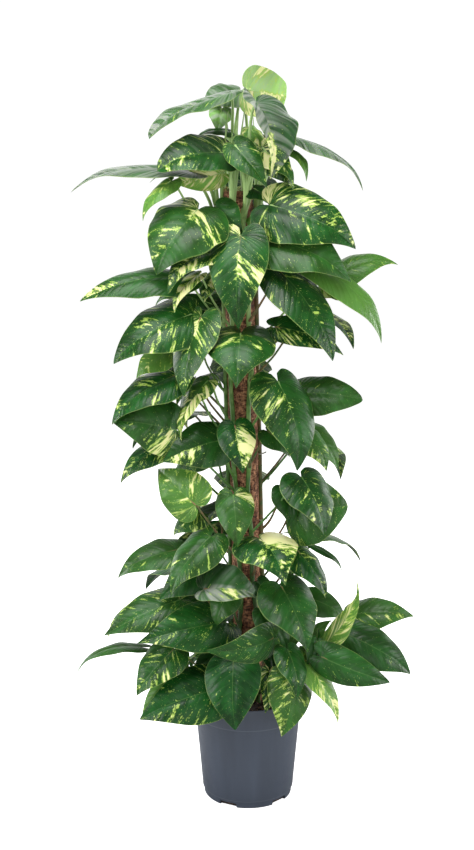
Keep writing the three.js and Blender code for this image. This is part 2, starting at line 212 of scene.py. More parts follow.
select_only()
bpy.ops.mesh.primitive_cone_add(
    vertices=96, radius1=SOIL_FOOT_RADIUS, radius2=SOIL_RADIUS, depth=SOIL_TOP - SOIL_FOOT,
    location=(0, 0, (SOIL_TOP + SOIL_FOOT) / 2))
soil = bpy.context.object
bpy.ops.object.transform_apply(location=True, rotation=True, scale=True)
bpy.ops.object.mode_set(mode="EDIT")
edit_select(soil, "FACE", lambda face: face.normal.z > 0.9)
for _ in range(SOIL_RINGS):
    bpy.ops.mesh.inset(thickness=SOIL_RING_WIDTH, depth=0)
bpy.ops.mesh.poke()
bpy.ops.object.mode_set(mode="OBJECT")
for vertex in soil.data.vertices:
    if vertex.co.z > SOIL_TOP - 0.001:
        edge_fade = min(1, (SOIL_RADIUS - vertex.co.xy.length) / 0.006)
        lumps = noise.fractal(vertex.co * LUMPS_PER_METRE, 0.8, 2.1, 4) * 0.0032
        vertex.co.z += max(-LUMP_LIMIT, min(LUMP_LIMIT, lumps)) * edge_fade - 0.001
bpy.ops.object.shade_smooth()

# Crumbs and slivers lie on top: one ball, copied, turned and stretched.
draw = random.Random(11)
select_only()
bpy.ops.mesh.primitive_ico_sphere_add(subdivisions=1, radius=1)
crumb = bpy.context.object
crumb_shape = crumb.data
scatter = bmesh.new()
for _ in range(CRUMBS):
    reach = CRUMB_REACH * math.sqrt(draw.random())
    turn = draw.uniform(0, 2 * math.pi)
    size = draw.uniform(0.0009, 0.0026)
    sliver = draw.choice((1, 1, 1.6, 3.2))
    start = len(scatter.verts)
    scatter.from_mesh(crumb_shape)
    scatter.verts.ensure_lookup_table()
    spot = Matrix.Translation(
        (reach * math.cos(turn), reach * math.sin(turn), SOIL_TOP + size * 0.2))
    spin = Matrix.Rotation(draw.uniform(0, 6.3), 4, "Z")
    tilt = Matrix.Rotation(draw.uniform(-0.4, 0.4), 4, "X")
    stretch = Matrix.Diagonal((size * sliver, size, size * 0.7, 1))
    bmesh.ops.transform(scatter, matrix=spot @ (spin @ tilt) @ stretch, verts=scatter.verts[start:])
scatter.to_mesh(crumb_shape)
scatter.free()
select_only(soil, crumb)
bpy.ops.object.join()

# Damp peat: nearly black and dull, in clods 4 mm wide, flecked with paler bits of 3 mm.
peat, tree = new_material("peat potting mix")
place = add_node(tree, "TexCoord").outputs["Object"]
clods = add_node(tree, "TexNoise", {"Vector": place, "Scale": 260.0, "Detail": 5.0, "Roughness": 0.65})
bits = add_node(tree, "TexVoronoi", {"Vector": place, "Scale": 330.0})
dark = add_node(tree, "Mix", {0: clods, 6: "#0f0a07", 7: "#3b281b"}, data_type="RGBA")
bit_spread = add_node(tree, "SeparateColor", {"Color": bits.outputs["Color"]})
rare = add_node(tree, "Math", {0: bit_spread.outputs["Red"], 1: 0.88}, operation="GREATER_THAN")
speckled = add_node(tree, "Mix", {0: rare, 6: dark, 7: "#6b4d33"}, data_type="RGBA")
peat_bump = add_node(tree, "Bump", {"Height": clods, "Strength": 0.9, "Distance": 0.002})
shader = add_node(tree, "BsdfPrincipled", {
    "Base Color": speckled, "Roughness": 0.95, "Normal": peat_bump})
add_node(tree, "OutputMaterial", {"Surface": shader})
settle(soil, "potting_mix", "potting_soil", "soil", peat)

# ---- Pole core ------------------------------------------------------------------------------
# A round softwood stick, sawn to length. It stands in the mix, leans a little to the left, and
# carries the coir. Only its sawn top shows.

POLE_TOP = 1.196
POLE_FOOT_X = 0.008
POLE_LEAN = math.radians(1.41)
CORE_FOOT = 0.020
CORE_TOP = POLE_TOP - 0.006
CORE_RADIUS = 0.0119
leaning = Matrix.Translation((POLE_FOOT_X, 0, 0)) @ Matrix.Rotation(-POLE_LEAN, 4, "Y")


def pole_x(z):
    """Where the pole's axis is at a height, in metres."""
    return POLE_FOOT_X - math.tan(POLE_LEAN) * z


select_only()
core_length = CORE_TOP - CORE_FOOT
bpy.ops.mesh.primitive_cylinder_add(
    vertices=32, radius=CORE_RADIUS, depth=core_length, location=(0, 0, CORE_FOOT + core_length / 2))
core = bpy.context.object
bpy.ops.object.transform_apply(location=True)
chamfer = core.modifiers.new("Sawn edge", "BEVEL")
chamfer.width = 0.0009
chamfer.segments = 2
chamfer.limit_method = "ANGLE"
bpy.ops.object.modifier_apply(modifier=chamfer.name)
bpy.ops.object.shade_smooth_by_angle(angle=math.radians(35))
core.data.transform(leaning)

# Softwood, sawn across: pale and matt, with growth rings 3 mm apart, a little off the centre.
stick, tree = new_material("sawn softwood")
place = add_node(tree, "TexCoord").outputs["Object"]
centred = add_node(tree, "Mapping", {"Vector": place, "Location": (-pole_x(1.19) + 0.002, 0.001, 0)})
rings = add_node(tree, "TexWave", {
    "Vector": centred, "Scale": 110.0, "Distortion": 1.5, "Detail": 2.0,
}, wave_type="RINGS", rings_direction="Z")
wood_tint = add_node(tree, "Mix", {
    0: rings.outputs["Fac"], 6: "#8a6844", 7: "#b9986b"}, data_type="RGBA")
shader = add_node(tree, "BsdfPrincipled", {"Base Color": wood_tint, "Roughness": 0.75})
add_node(tree, "OutputMaterial", {"Surface": shader})
settle(core, "pole_core_stick", "pole_core", "pole_wood", stick)

# ---- Coir sleeve ----------------------------------------------------------------------------
# Coconut fibre pressed into a thick brown felt and wrapped round the stick. Fibres run every
# way over its surface, and many have worked loose.

SLEEVE_RADIUS = 0.028
SLEEVE_HOLE = 0.0126
SLEEVE_BOTTOM = 0.150
SLEEVE_SHOULDER = POLE_TOP - 0.005  # where the side ends and the rounded, cut top begins
SLEEVE_RINGS = 330
FIBRES = 1500
FIBRE_LENGTH = 0.024
FIBRE_RADIUS = 0.00032
FRAYED_EVERY = 16  # one fibre of so many stands up from the cut top

select_only()
bpy.ops.mesh.primitive_circle_add(vertices=96, radius=SLEEVE_HOLE, location=(0, 0, SLEEVE_BOTTOM))
sleeve = bpy.context.object
bpy.ops.object.transform_apply(location=True)
bpy.ops.object.mode_set(mode="EDIT")
bpy.ops.mesh.select_all(action="SELECT")
side_height = SLEEVE_SHOULDER - SLEEVE_BOTTOM
draw_up([(SLEEVE_HOLE, SLEEVE_BOTTOM), (SLEEVE_RADIUS * 0.99, SLEEVE_BOTTOM)]
        + [(SLEEVE_RADIUS, SLEEVE_BOTTOM + side_height * i / SLEEVE_RINGS)
           for i in range(1, SLEEVE_RINGS + 1)]
        + [(0.0268, POLE_TOP - 0.0025), (0.0240, POLE_TOP - 0.0006), (0.0200, POLE_TOP),
           (0.0160, POLE_TOP - 0.0005), (0.0135, POLE_TOP - 0.0020),
           (SLEEVE_HOLE, POLE_TOP - 0.0045)])
edit_select(sleeve, "EDGE", lambda edge: len(edge.link_faces) == 1)
bpy.ops.mesh.bridge_edge_loops()
bpy.ops.mesh.select_all(action="SELECT")
bpy.ops.mesh.normals_make_consistent(inside=False)
bpy.ops.object.mode_set(mode="OBJECT")

# The felt's outside swells in soft patches, and is ridged where its strands lie.
for vertex in sleeve.data.vertices:
    if vertex.co.xy.length > SLEEVE_HOLE + 0.0019:
        spot = vertex.co
        wrap = Vector((spot.x * 60, spot.y * 60, spot.z * 24))
        felt = 0.5 + 0.5 * noise.fractal(wrap, 0.7, 2.2, 3)
        ridges = 1 - abs(noise.noise(Vector((spot.x * 240, spot.y * 240, spot.z * 120))))
        sink = -0.0008 + 0.0014 * felt + 0.0006 * (1 - ridges)
        flat = spot.xy.normalized() * (spot.xy.length - min(0.0010, max(-0.0008, sink)))
        vertex.co.x, vertex.co.y = flat
bpy.ops.object.shade_smooth()

# One loose fibre, copied over the felt at every slant.
select_only()
bpy.ops.mesh.primitive_cylinder_add(
    vertices=3, radius=FIBRE_RADIUS, depth=FIBRE_LENGTH, rotation=(0, math.pi / 2, 0))
fibre = bpy.context.object
bpy.ops.object.transform_apply(location=True, rotation=True, scale=True)
bpy.ops.object.mode_set(mode="EDIT")
edit_select(fibre, "EDGE", lambda edge: abs(edge.verts[0].co.x - edge.verts[1].co.x) > 0.01)
bpy.ops.mesh.subdivide(number_cuts=6)
bpy.ops.object.mode_set(mode="OBJECT")
fibre_shape = fibre.data.copy()
bpy.data.objects.remove(fibre)
draw = random.Random(23)
fibres = bmesh.new()
for number in range(FIBRES):
    start = len(fibres.verts)
    fibres.from_mesh(fibre_shape)
    fibres.verts.ensure_lookup_table()
    frayed = number % FRAYED_EVERY == 0
    z = SLEEVE_SHOULDER if frayed else draw.uniform(SLEEVE_BOTTOM + 0.02, POLE_TOP - 0.012)
    turn = draw.uniform(0, 2 * math.pi)
    slant = draw.gauss(1.57, 0.3) if frayed else draw.gauss(0, 0.8)
    bow = draw.uniform(-0.25, 0.25)
    lift = abs(draw.gauss(0, 0.0011))
    length = draw.uniform(0.5, 1.3)
    highest = POLE_TOP + (0.009 if frayed else -0.004)
    for vertex in fibres.verts[start:]:
        along = vertex.co.x * length
        share = along / (FIBRE_LENGTH / 2)
        run = along * math.cos(slant) - bow * along * share
        climb = along * math.sin(slant) + bow * along * share
        reach = SLEEVE_RADIUS - 0.0009 + vertex.co.y + lift * share * share
        angle = turn + (run + vertex.co.z) / SLEEVE_RADIUS
        level = max(SLEEVE_BOTTOM, min(highest, z + climb + vertex.co.z * 0.5))
        vertex.co = (reach * math.cos(angle), reach * math.sin(angle), level)
bmesh.ops.recalc_face_normals(fibres, faces=fibres.faces)
loose = bpy.data.meshes.new("loose fibres")
fibres.to_mesh(loose)
fibres.free()
loose_fibres = bpy.data.objects.new("loose fibres", loose)
bpy.context.collection.objects.link(loose_fibres)
select_only(sleeve, loose_fibres)
bpy.ops.object.join()
sleeve.data.transform(leaning)

# Dry coconut fibre: red-brown, matt and shaggy. Its strands lie in paler bundles 4 mm or so wide,
# which run up it and across, and patches 24 mm wide are darker with damp.
coir, tree = new_material("pressed coconut fibre")
place = add_node(tree, "TexCoord").outputs["Object"]
patches = add_node(tree, "TexNoise", {"Vector": place, "Scale": 42.0, "Detail": 3.0})
dry = add_node(tree, "MapRange", {"Value": patches, "From Min": 0.38, "From Max": 0.58})
strands_place = add_node(tree, "Mapping", {
    "Vector": place, "Rotation": (0.5, 0.3, 0.2), "Scale": (260, 260, 70)})
strands = add_node(tree, "TexNoise", {
    "Vector": strands_place, "Scale": 1.0, "Detail": 4.0, "Distortion": 1.2})
cross_place = add_node(tree, "Mapping", {
    "Vector": place, "Rotation": (-0.6, 0.8, 0.1), "Scale": (80, 280, 280)})
cross = add_node(tree, "TexNoise", {
    "Vector": cross_place, "Scale": 1.0, "Detail": 3.0, "Distortion": 1.0})
both = add_node(tree, "Math", {0: strands, 1: cross}, operation="MULTIPLY")
spread = add_node(tree, "MapRange", {"Value": both, "From Min": 0.16, "From Max": 0.36})
brown = add_node(tree, "Mix", {0: spread, 6: "#4a291d", 7: "#eab08a"}, data_type="RGBA")
patch_tint = add_node(tree, "Mix", {0: dry, 6: "#8f7262", 7: "#fff6ee"}, data_type="RGBA")
warm = add_node(tree, "Mix", {
    0: 0.9, 6: brown, 7: patch_tint}, data_type="RGBA", blend_type="MULTIPLY")
coir_bump = add_node(tree, "Bump", {"Height": spread, "Strength": 0.9, "Distance": 0.0012})
shader = add_node(tree, "BsdfPrincipled", {"Base Color": warm, "Roughness": 0.9, "Normal": coir_bump})
add_node(tree, "OutputMaterial", {"Surface": shader})
settle(sleeve, "coir_felt_sleeve", "coir_sleeve", "coir", coir)

# ---- Leaf blades ----------------------------------------------------------------------------
# Each blade is a thin heart-shaped plate of waxy green tissue with a sunk midrib, held out on its
# own petiole. Side veins sweep from the midrib to the margin, and the cream variegation follows
# them.

# Half the blade's outline, from the notch behind the petiole round to the tip, as
# (distance along the blade / its length, distance from the midrib / half its width).
OUTLINE = [(-0.10, 0.10), (-0.15, 0.38), (-0.10, 0.70), (0.04, 0.93), (0.22, 1.0), (0.42, 0.9),
           (0.61, 0.64), (0.79, 0.32), (0.91, 0.12), (1.0, 0.0)]
VEIN_SWEEP = 0.34  # how far a side vein runs forward, per half width
VEIN_SAG = 0.12  # how far it sags back on the way
VEIN_SPACING = 9.0  # mm
BLADE_THICKNESS = 0.7  # mm
MIDRIB_DEPTH = 0.9  # mm that the midrib is sunk
MIDRIB_WIDTH = 2.2  # mm to each side
LEAST_FOLD = 0.1  # how far the halves of every blade fold up, per half width
SECTOR_EDGE = 0.035  # how softly a cream sector ends, along the outline
BLADE_ROWS = 40
HALF_COLUMNS = 7
LEFT_HALF = 10  # added to the left half's places on the Veins map, to tell the halves apart
OUTLINE_RUN = 1.3  # how long half the outline is, per length of the blade
SEED_STEP = 7.31  # how far apart the patterns of two leaves lie, in mm


def outline_at(t):
    """The point of the outline at t from 0 to 1, on a smooth curve through its points."""
    place = t * (len(OUTLINE) - 1)
    i = min(int(place), len(OUTLINE) - 2)
    w = place - i
    p0, p1 = OUTLINE[max(i - 1, 0)], OUTLINE[i]
    p2, p3 = OUTLINE[i + 1], OUTLINE[min(i + 2, len(OUTLINE) - 1)]
    point = []
    for a, b, c, d in zip(p0, p1, p2, p3):
        v0, v1 = (c - a) / 2, (d - b) / 2
        cubed, squared = 2 * b - 2 * c + v0 + v1, 3 * c - 3 * b - 2 * v0 - v1
        point.append(cubed * w ** 3 + squared * w * w + v0 * w + b)
    return point


# The flat pattern blade: a grid whose rows run out along the side veins, made two sheets thick.
select_only()
bpy.ops.mesh.primitive_grid_add(x_subdivisions=2 * HALF_COLUMNS, y_subdivisions=BLADE_ROWS, size=2)
pattern = bpy.context.object
uv = pattern.data.uv_layers.active
uv.name = "Veins"
for face in pattern.data.polygons:
    right_hand = face.center.x > 0
    for corner in face.loop_indices:
        spot = pattern.data.vertices[pattern.data.loops[corner].vertex_index].co
        uv.data[corner].uv = ((spot.y + 1) / 2 + (0 if right_hand else LEFT_HALF), abs(spot.x))
for vertex in pattern.data.vertices:
    along, across = outline_at((vertex.co.y + 1) / 2)
    out = abs(vertex.co.x) ** 0.85  # the columns crowd towards the margin
    start = max(0, along - VEIN_SWEEP * across)
    sag = VEIN_SAG * across * out * (1 - out)
    vertex.co.y = start + (along - start) * out - sag
    vertex.co.x = math.copysign(across * out, vertex.co.x)
bpy.ops.object.mode_set(mode="EDIT")
bpy.ops.mesh.select_all(action="SELECT")
bpy.ops.mesh.remove_doubles(threshold=1e-5)
bpy.ops.object.mode_set(mode="OBJECT")
two_sheets = pattern.modifiers.new("Thickness", "SOLIDIFY")
two_sheets.thickness = 2
two_sheets.offset = 0
two_sheets.use_even_offset = False
two_sheets.material_offset = 1
two_sheets.material_offset_rim = 1
bpy.ops.object.modifier_apply(modifier=two_sheets.name)
bpy.ops.object.shade_smooth_by_angle(angle=math.radians(50))
pattern_blade = pattern.data
pattern_faces = [tuple(face.vertices) for face in pattern_blade.polygons]
pattern_spots = np.array([vertex.co for vertex in pattern_blade.vertices], dtype=float)
pattern_uv = np.array([corner.uv for corner in pattern_blade.uv_layers["Veins"].data], dtype=float)
corner_vertex = [corner.vertex_index for corner in pattern_blade.loops]
vein_place = np.zeros(len(pattern_spots))  # each vertex's t along the outline, 0 to 1
vein_place[corner_vertex] = pattern_uv[:, 0] % LEFT_HALF
vein_reach = np.zeros(len(pattern_spots))  # and its place along the side vein, 0 to 1
vein_reach[corner_vertex] = pattern_uv[:, 1]
outline_steps = np.linspace(0, 1, 51)
half_widths = [outline_at(step)[1] for step in outline_steps]
vein_width = np.maximum(np.interp(vein_place, outline_steps, half_widths), 0.02)


def blade_material(name, deep, mid, pale_tint, cream_tint, gloss, underside):
    """Waxy leaf tissue: glossy above and matt beneath, mottled between its side veins. The Veins
    map holds the place across and along the side veins, in mm."""
    made, tree = new_material(name)
    veins_map = add_node(tree, "UVMap", uv_map="Veins")
    spot = add_node(tree, "SeparateXYZ", {"Vector": veins_map.outputs["UV"]})
    seed, cream, tone, margin, bloom = [
        add_node(tree, "Attribute", attribute_name=name).outputs["Fac"]
        for name in ("leaf_seed", "cream", "tone", "margin", "bloom")]
    place = add_node(tree, "CombineXYZ", {"X": spot.outputs["X"], "Y": spot.outputs["Y"], "Z": seed})

    def streaks(width, length, detail):
        """A pattern that streaks along the side veins, of a width and a length in mm."""
        scaled = add_node(tree, "Mapping", {"Vector": place, "Scale": (1 / width, 1 / length, 1)})
        return add_node(tree, "TexNoise", {
            "Vector": scaled, "Scale": 1.0, "Detail": detail, "Roughness": 0.6})

    broad = streaks(11, 60, 2.5)  # whole sectors between side veins
    narrow = streaks(3.6, 24, 1.5)  # flecks and dashes along the veins
    fine = streaks(1.1, 3.5, 1)  # freckles
    weighed = add_node(tree, "Mix", {0: 0.42, 2: broad, 3: narrow})
    level = add_node(tree, "Math", {0: cream, 1: 0.34, 2: weighed}, operation="MULTIPLY_ADD")
    cream_mask = add_node(tree, "MapRange", {"Value": level, "From Min": 0.745, "From Max": 0.775})
    lime_level = add_node(tree, "Math", {0: fine, 1: 0.22, 2: level}, operation="MULTIPLY_ADD")
    lime_mask = add_node(tree, "MapRange", {"Value": lime_level, "From Min": 0.80, "From Max": 0.84})
    freckle_level = add_node(tree, "Math", {0: cream, 1: 0.10, 2: fine}, operation="MULTIPLY_ADD")
    freckle_mask = add_node(tree, "MapRange", {
        "Value": freckle_level, "From Min": 0.74, "From Max": 0.78})

    mottling = streaks(24, 60, 3)
    mottled = add_node(tree, "MapRange", {"Value": mottling, "From Min": 0.35, "From Max": 0.68})
    green = add_node(tree, "Mix", {0: mottled, 6: deep, 7: mid}, data_type="RGBA")
    # Paler green by the leaf's tone: partly the real pallor of young tissue, partly painted light glowing
    # through backlit blades.
    paled = add_node(tree, "Mix", {0: tone, 6: green, 7: pale_tint}, data_type="RGBA")
    # Tissue that has just unrolled, or a blade painted as lit through from behind, with a value over 1,
    # is paler still: partly real youth, partly painted light.
    palest_share = add_node(tree, "MapRange", {"Value": tone, "From Min": 1.0, "From Max": 2.0})
    palest = add_node(tree, "Mix", {0: palest_share, 6: paled, 7: "#c3d89a"}, data_type="RGBA")
    # Side veins, a shade lighter than the tissue between them.
    wander = add_node(tree, "Math", {
        0: mottling, 1: VEIN_SPACING, 2: spot.outputs["X"]}, operation="MULTIPLY_ADD")
    vein_turn = add_node(tree, "Math", {0: wander, 1: math.pi / VEIN_SPACING}, operation="MULTIPLY")
    vein_wave = add_node(tree, "Math", {0: vein_turn}, operation="SINE")
    pillow = add_node(tree, "Math", {0: vein_wave}, operation="ABSOLUTE")
    vein_line = add_node(tree, "MapRange", {
        "Value": pillow, "From Min": 0.22, "From Max": 0.0}, interpolation_type="SMOOTHSTEP")
    vein_faint = add_node(tree, "Math", {
        0: vein_line, 1: 0.4 if underside else 0.06}, operation="MULTIPLY")
    veined = add_node(tree, "Mix", {0: vein_faint, 6: palest, 7: pale_tint}, data_type="RGBA")
    # Painted sheen: a grey reflection of the studio lights, painted into the colour in bands along the
    # side veins, on leaves that have one.
    bloom_band = add_node(tree, "MapRange", {
        "Value": streaks(7, 160, 1), "From Min": 0.4, "From Max": 0.62, "To Min": 0.12,
    }, interpolation_type="SMOOTHSTEP")
    bloom_share = add_node(tree, "Math", {0: bloom_band, 1: bloom}, operation="MULTIPLY")
    bloomed = add_node(tree, "Mix", {0: bloom_share, 6: veined, 7: "#8e948a"}, data_type="RGBA")
    lime = add_node(tree, "Mix", {0: lime_mask, 6: bloomed, 7: "#98b352"}, data_type="RGBA")
    freckled = add_node(tree, "Mix", {0: freckle_mask, 6: lime, 7: "#9fb860"}, data_type="RGBA")
    creamy = add_node(tree, "Mix", {0: cream_mask, 6: freckled, 7: cream_tint}, data_type="RGBA")
    midrib = add_node(tree, "MapRange", {
        "Value": spot.outputs["Y"], "From Min": 1.3, "From Max": 0.4,
        "To Max": 0.75 if underside else 0.22}, interpolation_type="SMOOTHSTEP")
    ribbed = add_node(tree, "Mix", {0: midrib, 6: creamy, 7: "#6f9450"}, data_type="RGBA")
    # The thin margin lets light through, and shows as a pale line.
    thin_edge = add_node(tree, "MapRange", {
        "Value": margin, "From Min": 0.97, "From Max": 1.0, "To Max": 0.35})
    edged = add_node(tree, "Mix", {0: thin_edge, 6: ribbed, 7: "#a9bf6c"}, data_type="RGBA")

    # The tissue puffs up between side veins like a quilt, and is a little uneven all over.
    relief = add_node(tree, "Math", {
        0: pillow, 1: -1.0 if underside else 1.0, 2: narrow}, operation="MULTIPLY_ADD")
    skin_bump = add_node(tree, "Bump", {"Height": relief, "Strength": 0.5, "Distance": 0.0007})
    wax = add_node(tree, "MapRange", {
        "Value": mottling, "From Min": 0.3, "From Max": 0.7, "To Min": gloss - 0.05,
        "To Max": gloss + 0.07})
    # Light soaks through the thin tissue.
    shader = add_node(tree, "BsdfPrincipled", {
        "Base Color": edged, "Roughness": wax, "IOR": 1.42, "Specular IOR Level": 0.34,
        "Normal": skin_bump, "Subsurface Weight": 0.3, "Subsurface Radius": (0.7, 1.0, 0.4),
        "Subsurface Scale": 0.0012})
    add_node(tree, "OutputMaterial", {"Surface": shader})
    return made


blade_top = blade_material(
    "waxy leaf top", "#082d0b", "#125016", "#76ab48", "#dad99c", 0.34, False)
blade_under = blade_material(
    "matt leaf underside", "#225022", "#32672e", "#c2dba0", "#ccca92", 0.58, True)


def leaf(base, tip, width, roll, arch=0.1, fold=0.15, **look):
    """One leaf: where its blade starts and ends and its width, in mm, its roll about its own
    length in degrees, how much the midrib arches and how far the two halves fold up. The look
    says how cream the left and the right half are, how much painted grey sheen, a painted
    reflection of the lights, each half has, how pale the green is, partly for young tissue and
    partly as painted light shining through the blade, how likely the petiole is to be brown (age),
    and which sectors between side veins turn cream: (hand, from, to, amount). It also says what
    else sets a leaf apart: how long its lobes are, how full, cupped, bent, drooping or twisted its
    blade is, which vine it grows on, and how far it rises above its node."""
    return {"base": Vector(base), "tip": Vector(tip), "width": width, "roll": roll,
            "arch": arch, "fold": fold, **look}


def beside_pole(spot):
    """How far a point lies from the pole's axis, to the right and to the rear, in mm."""
    return Vector((spot.x - pole_x(spot.z / 1000) * 1000, spot.y, 0))


def pole_axis(z):
    """The point on the pole's axis at a height, in mm."""
    return Vector((pole_x(z / 1000) * 1000, 0, z))


def heading(bearing):
    """The level direction at a bearing in radians, from the front and to the right."""
    return Vector((math.sin(bearing), -math.cos(bearing), 0))


def blade_frame(row):
    """The blade's own directions: ahead along it, normal out of its top and right across it."""
    ahead = row["tip"] - row["base"]
    length = ahead.length
    ahead.normalize()
    outward = beside_pole((row["base"] + row["tip"]) / 2).normalized()
    normal = outward * 0.6 + Vector((0, 0, 0.8))
    normal = (normal - ahead * normal.dot(ahead)).normalized()
    normal.rotate(Matrix.Rotation(math.radians(row["roll"]), 3, ahead))
    return ahead, length, normal, ahead.cross(normal)


def midrib_point(row, distance, below):
    """A point under the midrib, at a distance from the base, in mm."""
    ahead, length, normal, _ = blade_frame(row)
    along = distance / length
    rise = row["arch"] * length * 4 * along * (1 - along) - MIDRIB_DEPTH - below
    return row["base"] + ahead * distance + normal * rise


def blade_spots(row, number):
    """The pattern blade's vertices, sized, arched, folded and waved for one leaf, in mm."""
    ahead, length, normal, right = blade_frame(row)
    luck = random.Random(1000 + number)
    half = row["width"] / 2
    across, along, sheet = pattern_spots.T
    along = np.where(along < 0, along * row.get("lobe", 1), along)
    # A full blade stays broad for longer, and then narrows to its tip at once.
    full = row.get("full", luck.uniform(0, 0.8))
    across = across * np.where(along > 0.25, vein_width ** (-0.3 * full), 1)
    out = np.abs(across)
    wave = luck.uniform(0.03, 0.07)
    left_turn, right_turn, _ = [luck.uniform(0, 6.28) for _ in range(3)]
    phase = np.where(across < 0, left_turn, right_turn)
    cup = row.get("cup", luck.uniform(0.35, 0.65))
    fold = row["fold"] + LEAST_FOLD
    height = row["arch"] * length * 4 * along * (1 - along) + half * (fold * out - cup * out ** 2)
    ripple = np.sin(along * 11 + phase) + 0.6 * np.sin(along * 19 + phase * 2)
    height = height + half * wave * out ** 1.5 * ripple
    height = height - MIDRIB_DEPTH * np.exp(-(out * half / MIDRIB_WIDTH) ** 2)
    bend = row.get("bend", luck.uniform(-0.05, 0.05)) * length * (along - along ** 2) * 2
    droop = row.get("droop", luck.uniform(0.02, 0.13)) * length * np.clip(along - 0.6, 0, 1) ** 2 * 6
    twist = row.get("twist", luck.uniform(-0.3, 0.3)) * (along - 0.4)
    side = across * half
    turned_side = side * np.cos(twist) - height * np.sin(twist)
    turned_height = side * np.sin(twist) + height * np.cos(twist)
    return (np.array(row["base"])[None, :]
            + np.outer(along * length, ahead)
            + np.outer(turned_height - droop + sheet * BLADE_THICKNESS / 2, normal)
            + np.outer(turned_side + bend, right))


def make_blade(name, node, row, number):
    """A copy of the pattern blade, laid out for one leaf and marked for its variegation."""
    luck = random.Random(5000 + number)
    length = (row["tip"] - row["base"]).length
    shape = pattern_blade.copy()
    shape.vertices.foreach_set("co", (blade_spots(row, number) / 1000).ravel())
    uv = pattern_uv.copy()
    # The left half's pattern starts a metre on, so that the halves differ.
    uv[:, 0] = (uv[:, 0] % LEFT_HALF) * OUTLINE_RUN * length + (uv[:, 0] // LEFT_HALF) * 1000
    uv[:, 1] = uv[:, 1] * row["width"] / 2
    shape.uv_layers["Veins"].data.foreach_set("uv", uv.ravel())
    left_cream, right_cream = row.get("cream", (luck.uniform(0.1, 0.5), luck.uniform(0.1, 0.5)))
    across = pattern_spots[:, 0]
    amount = np.where(across < 0, left_cream, right_cream)
    for hand, start, end, strength in row.get("sectors", []):
        past_start = 1 / (1 + np.exp((start - vein_place) / SECTOR_EDGE))
        inside = past_start / (1 + np.exp((vein_place - end) / SECTOR_EDGE))
        amount = amount + strength * inside * (across * hand > -1e-6)
    # How pale the leaf is painted: partly young tissue, partly painted light shining through it.
    tone = row.get("tone", luck.uniform(0, 0.09))
    # How much painted grey sheen, a painted reflection of the lights, each half carries.
    left_bloom, right_bloom = row.get("bloom", (0, 0))
    for attribute, values in {
            "leaf_seed": np.full(len(across), number * SEED_STEP), "cream": amount,
            "tone": np.full(len(across), tone), "margin": vein_reach,
            "bloom": np.where(across < 0, left_bloom, right_bloom)}.items():
        mark = shape.attributes.new(attribute, "FLOAT", "POINT")
        mark.data.foreach_set("value", values.astype(np.float32))
    shape.update()
    blade = bpy.data.objects.new(name, shape)
    bpy.context.collection.objects.link(blade)
    settle(blade, name, node, "foliage", blade_top, blade_under)


# Where the leaves grow from: six vines climb the sleeve, and each wanders a little round it.
VINE_BEARINGS = [-155, -95, -32, 24, 88, 150]  # degrees from the front, + to the right
VINE_TOP = 1165  # mm
VINE_REACH = 31.4  # from the pole's axis to a vine's own, mm


def vine_bearing(vine, z):
    """Where a vine is round the pole at a height, in degrees."""
    return VINE_BEARINGS[vine] + 9 * math.sin(z / 105 + 1.7 * vine)


def leaf_node(row):
    """The height at which a leaf springs, in mm, and its vine: the nearest round the pole."""
    side = beside_pole(row["base"])
    bearing = math.degrees(math.atan2(side.x, -side.y))
    rise = row.get("rise", 20 + 0.75 * side.length)
    height = min(max(row["base"].z - rise, SOIL_TOP * 1000 + 16), VINE_TOP - 12)
    apart = [abs((vine_bearing(vine, height) - bearing + 180) % 360 - 180)
             for vine in range(len(VINE_BEARINGS))]
    return height, row.get("vine", apart.index(min(apart)))


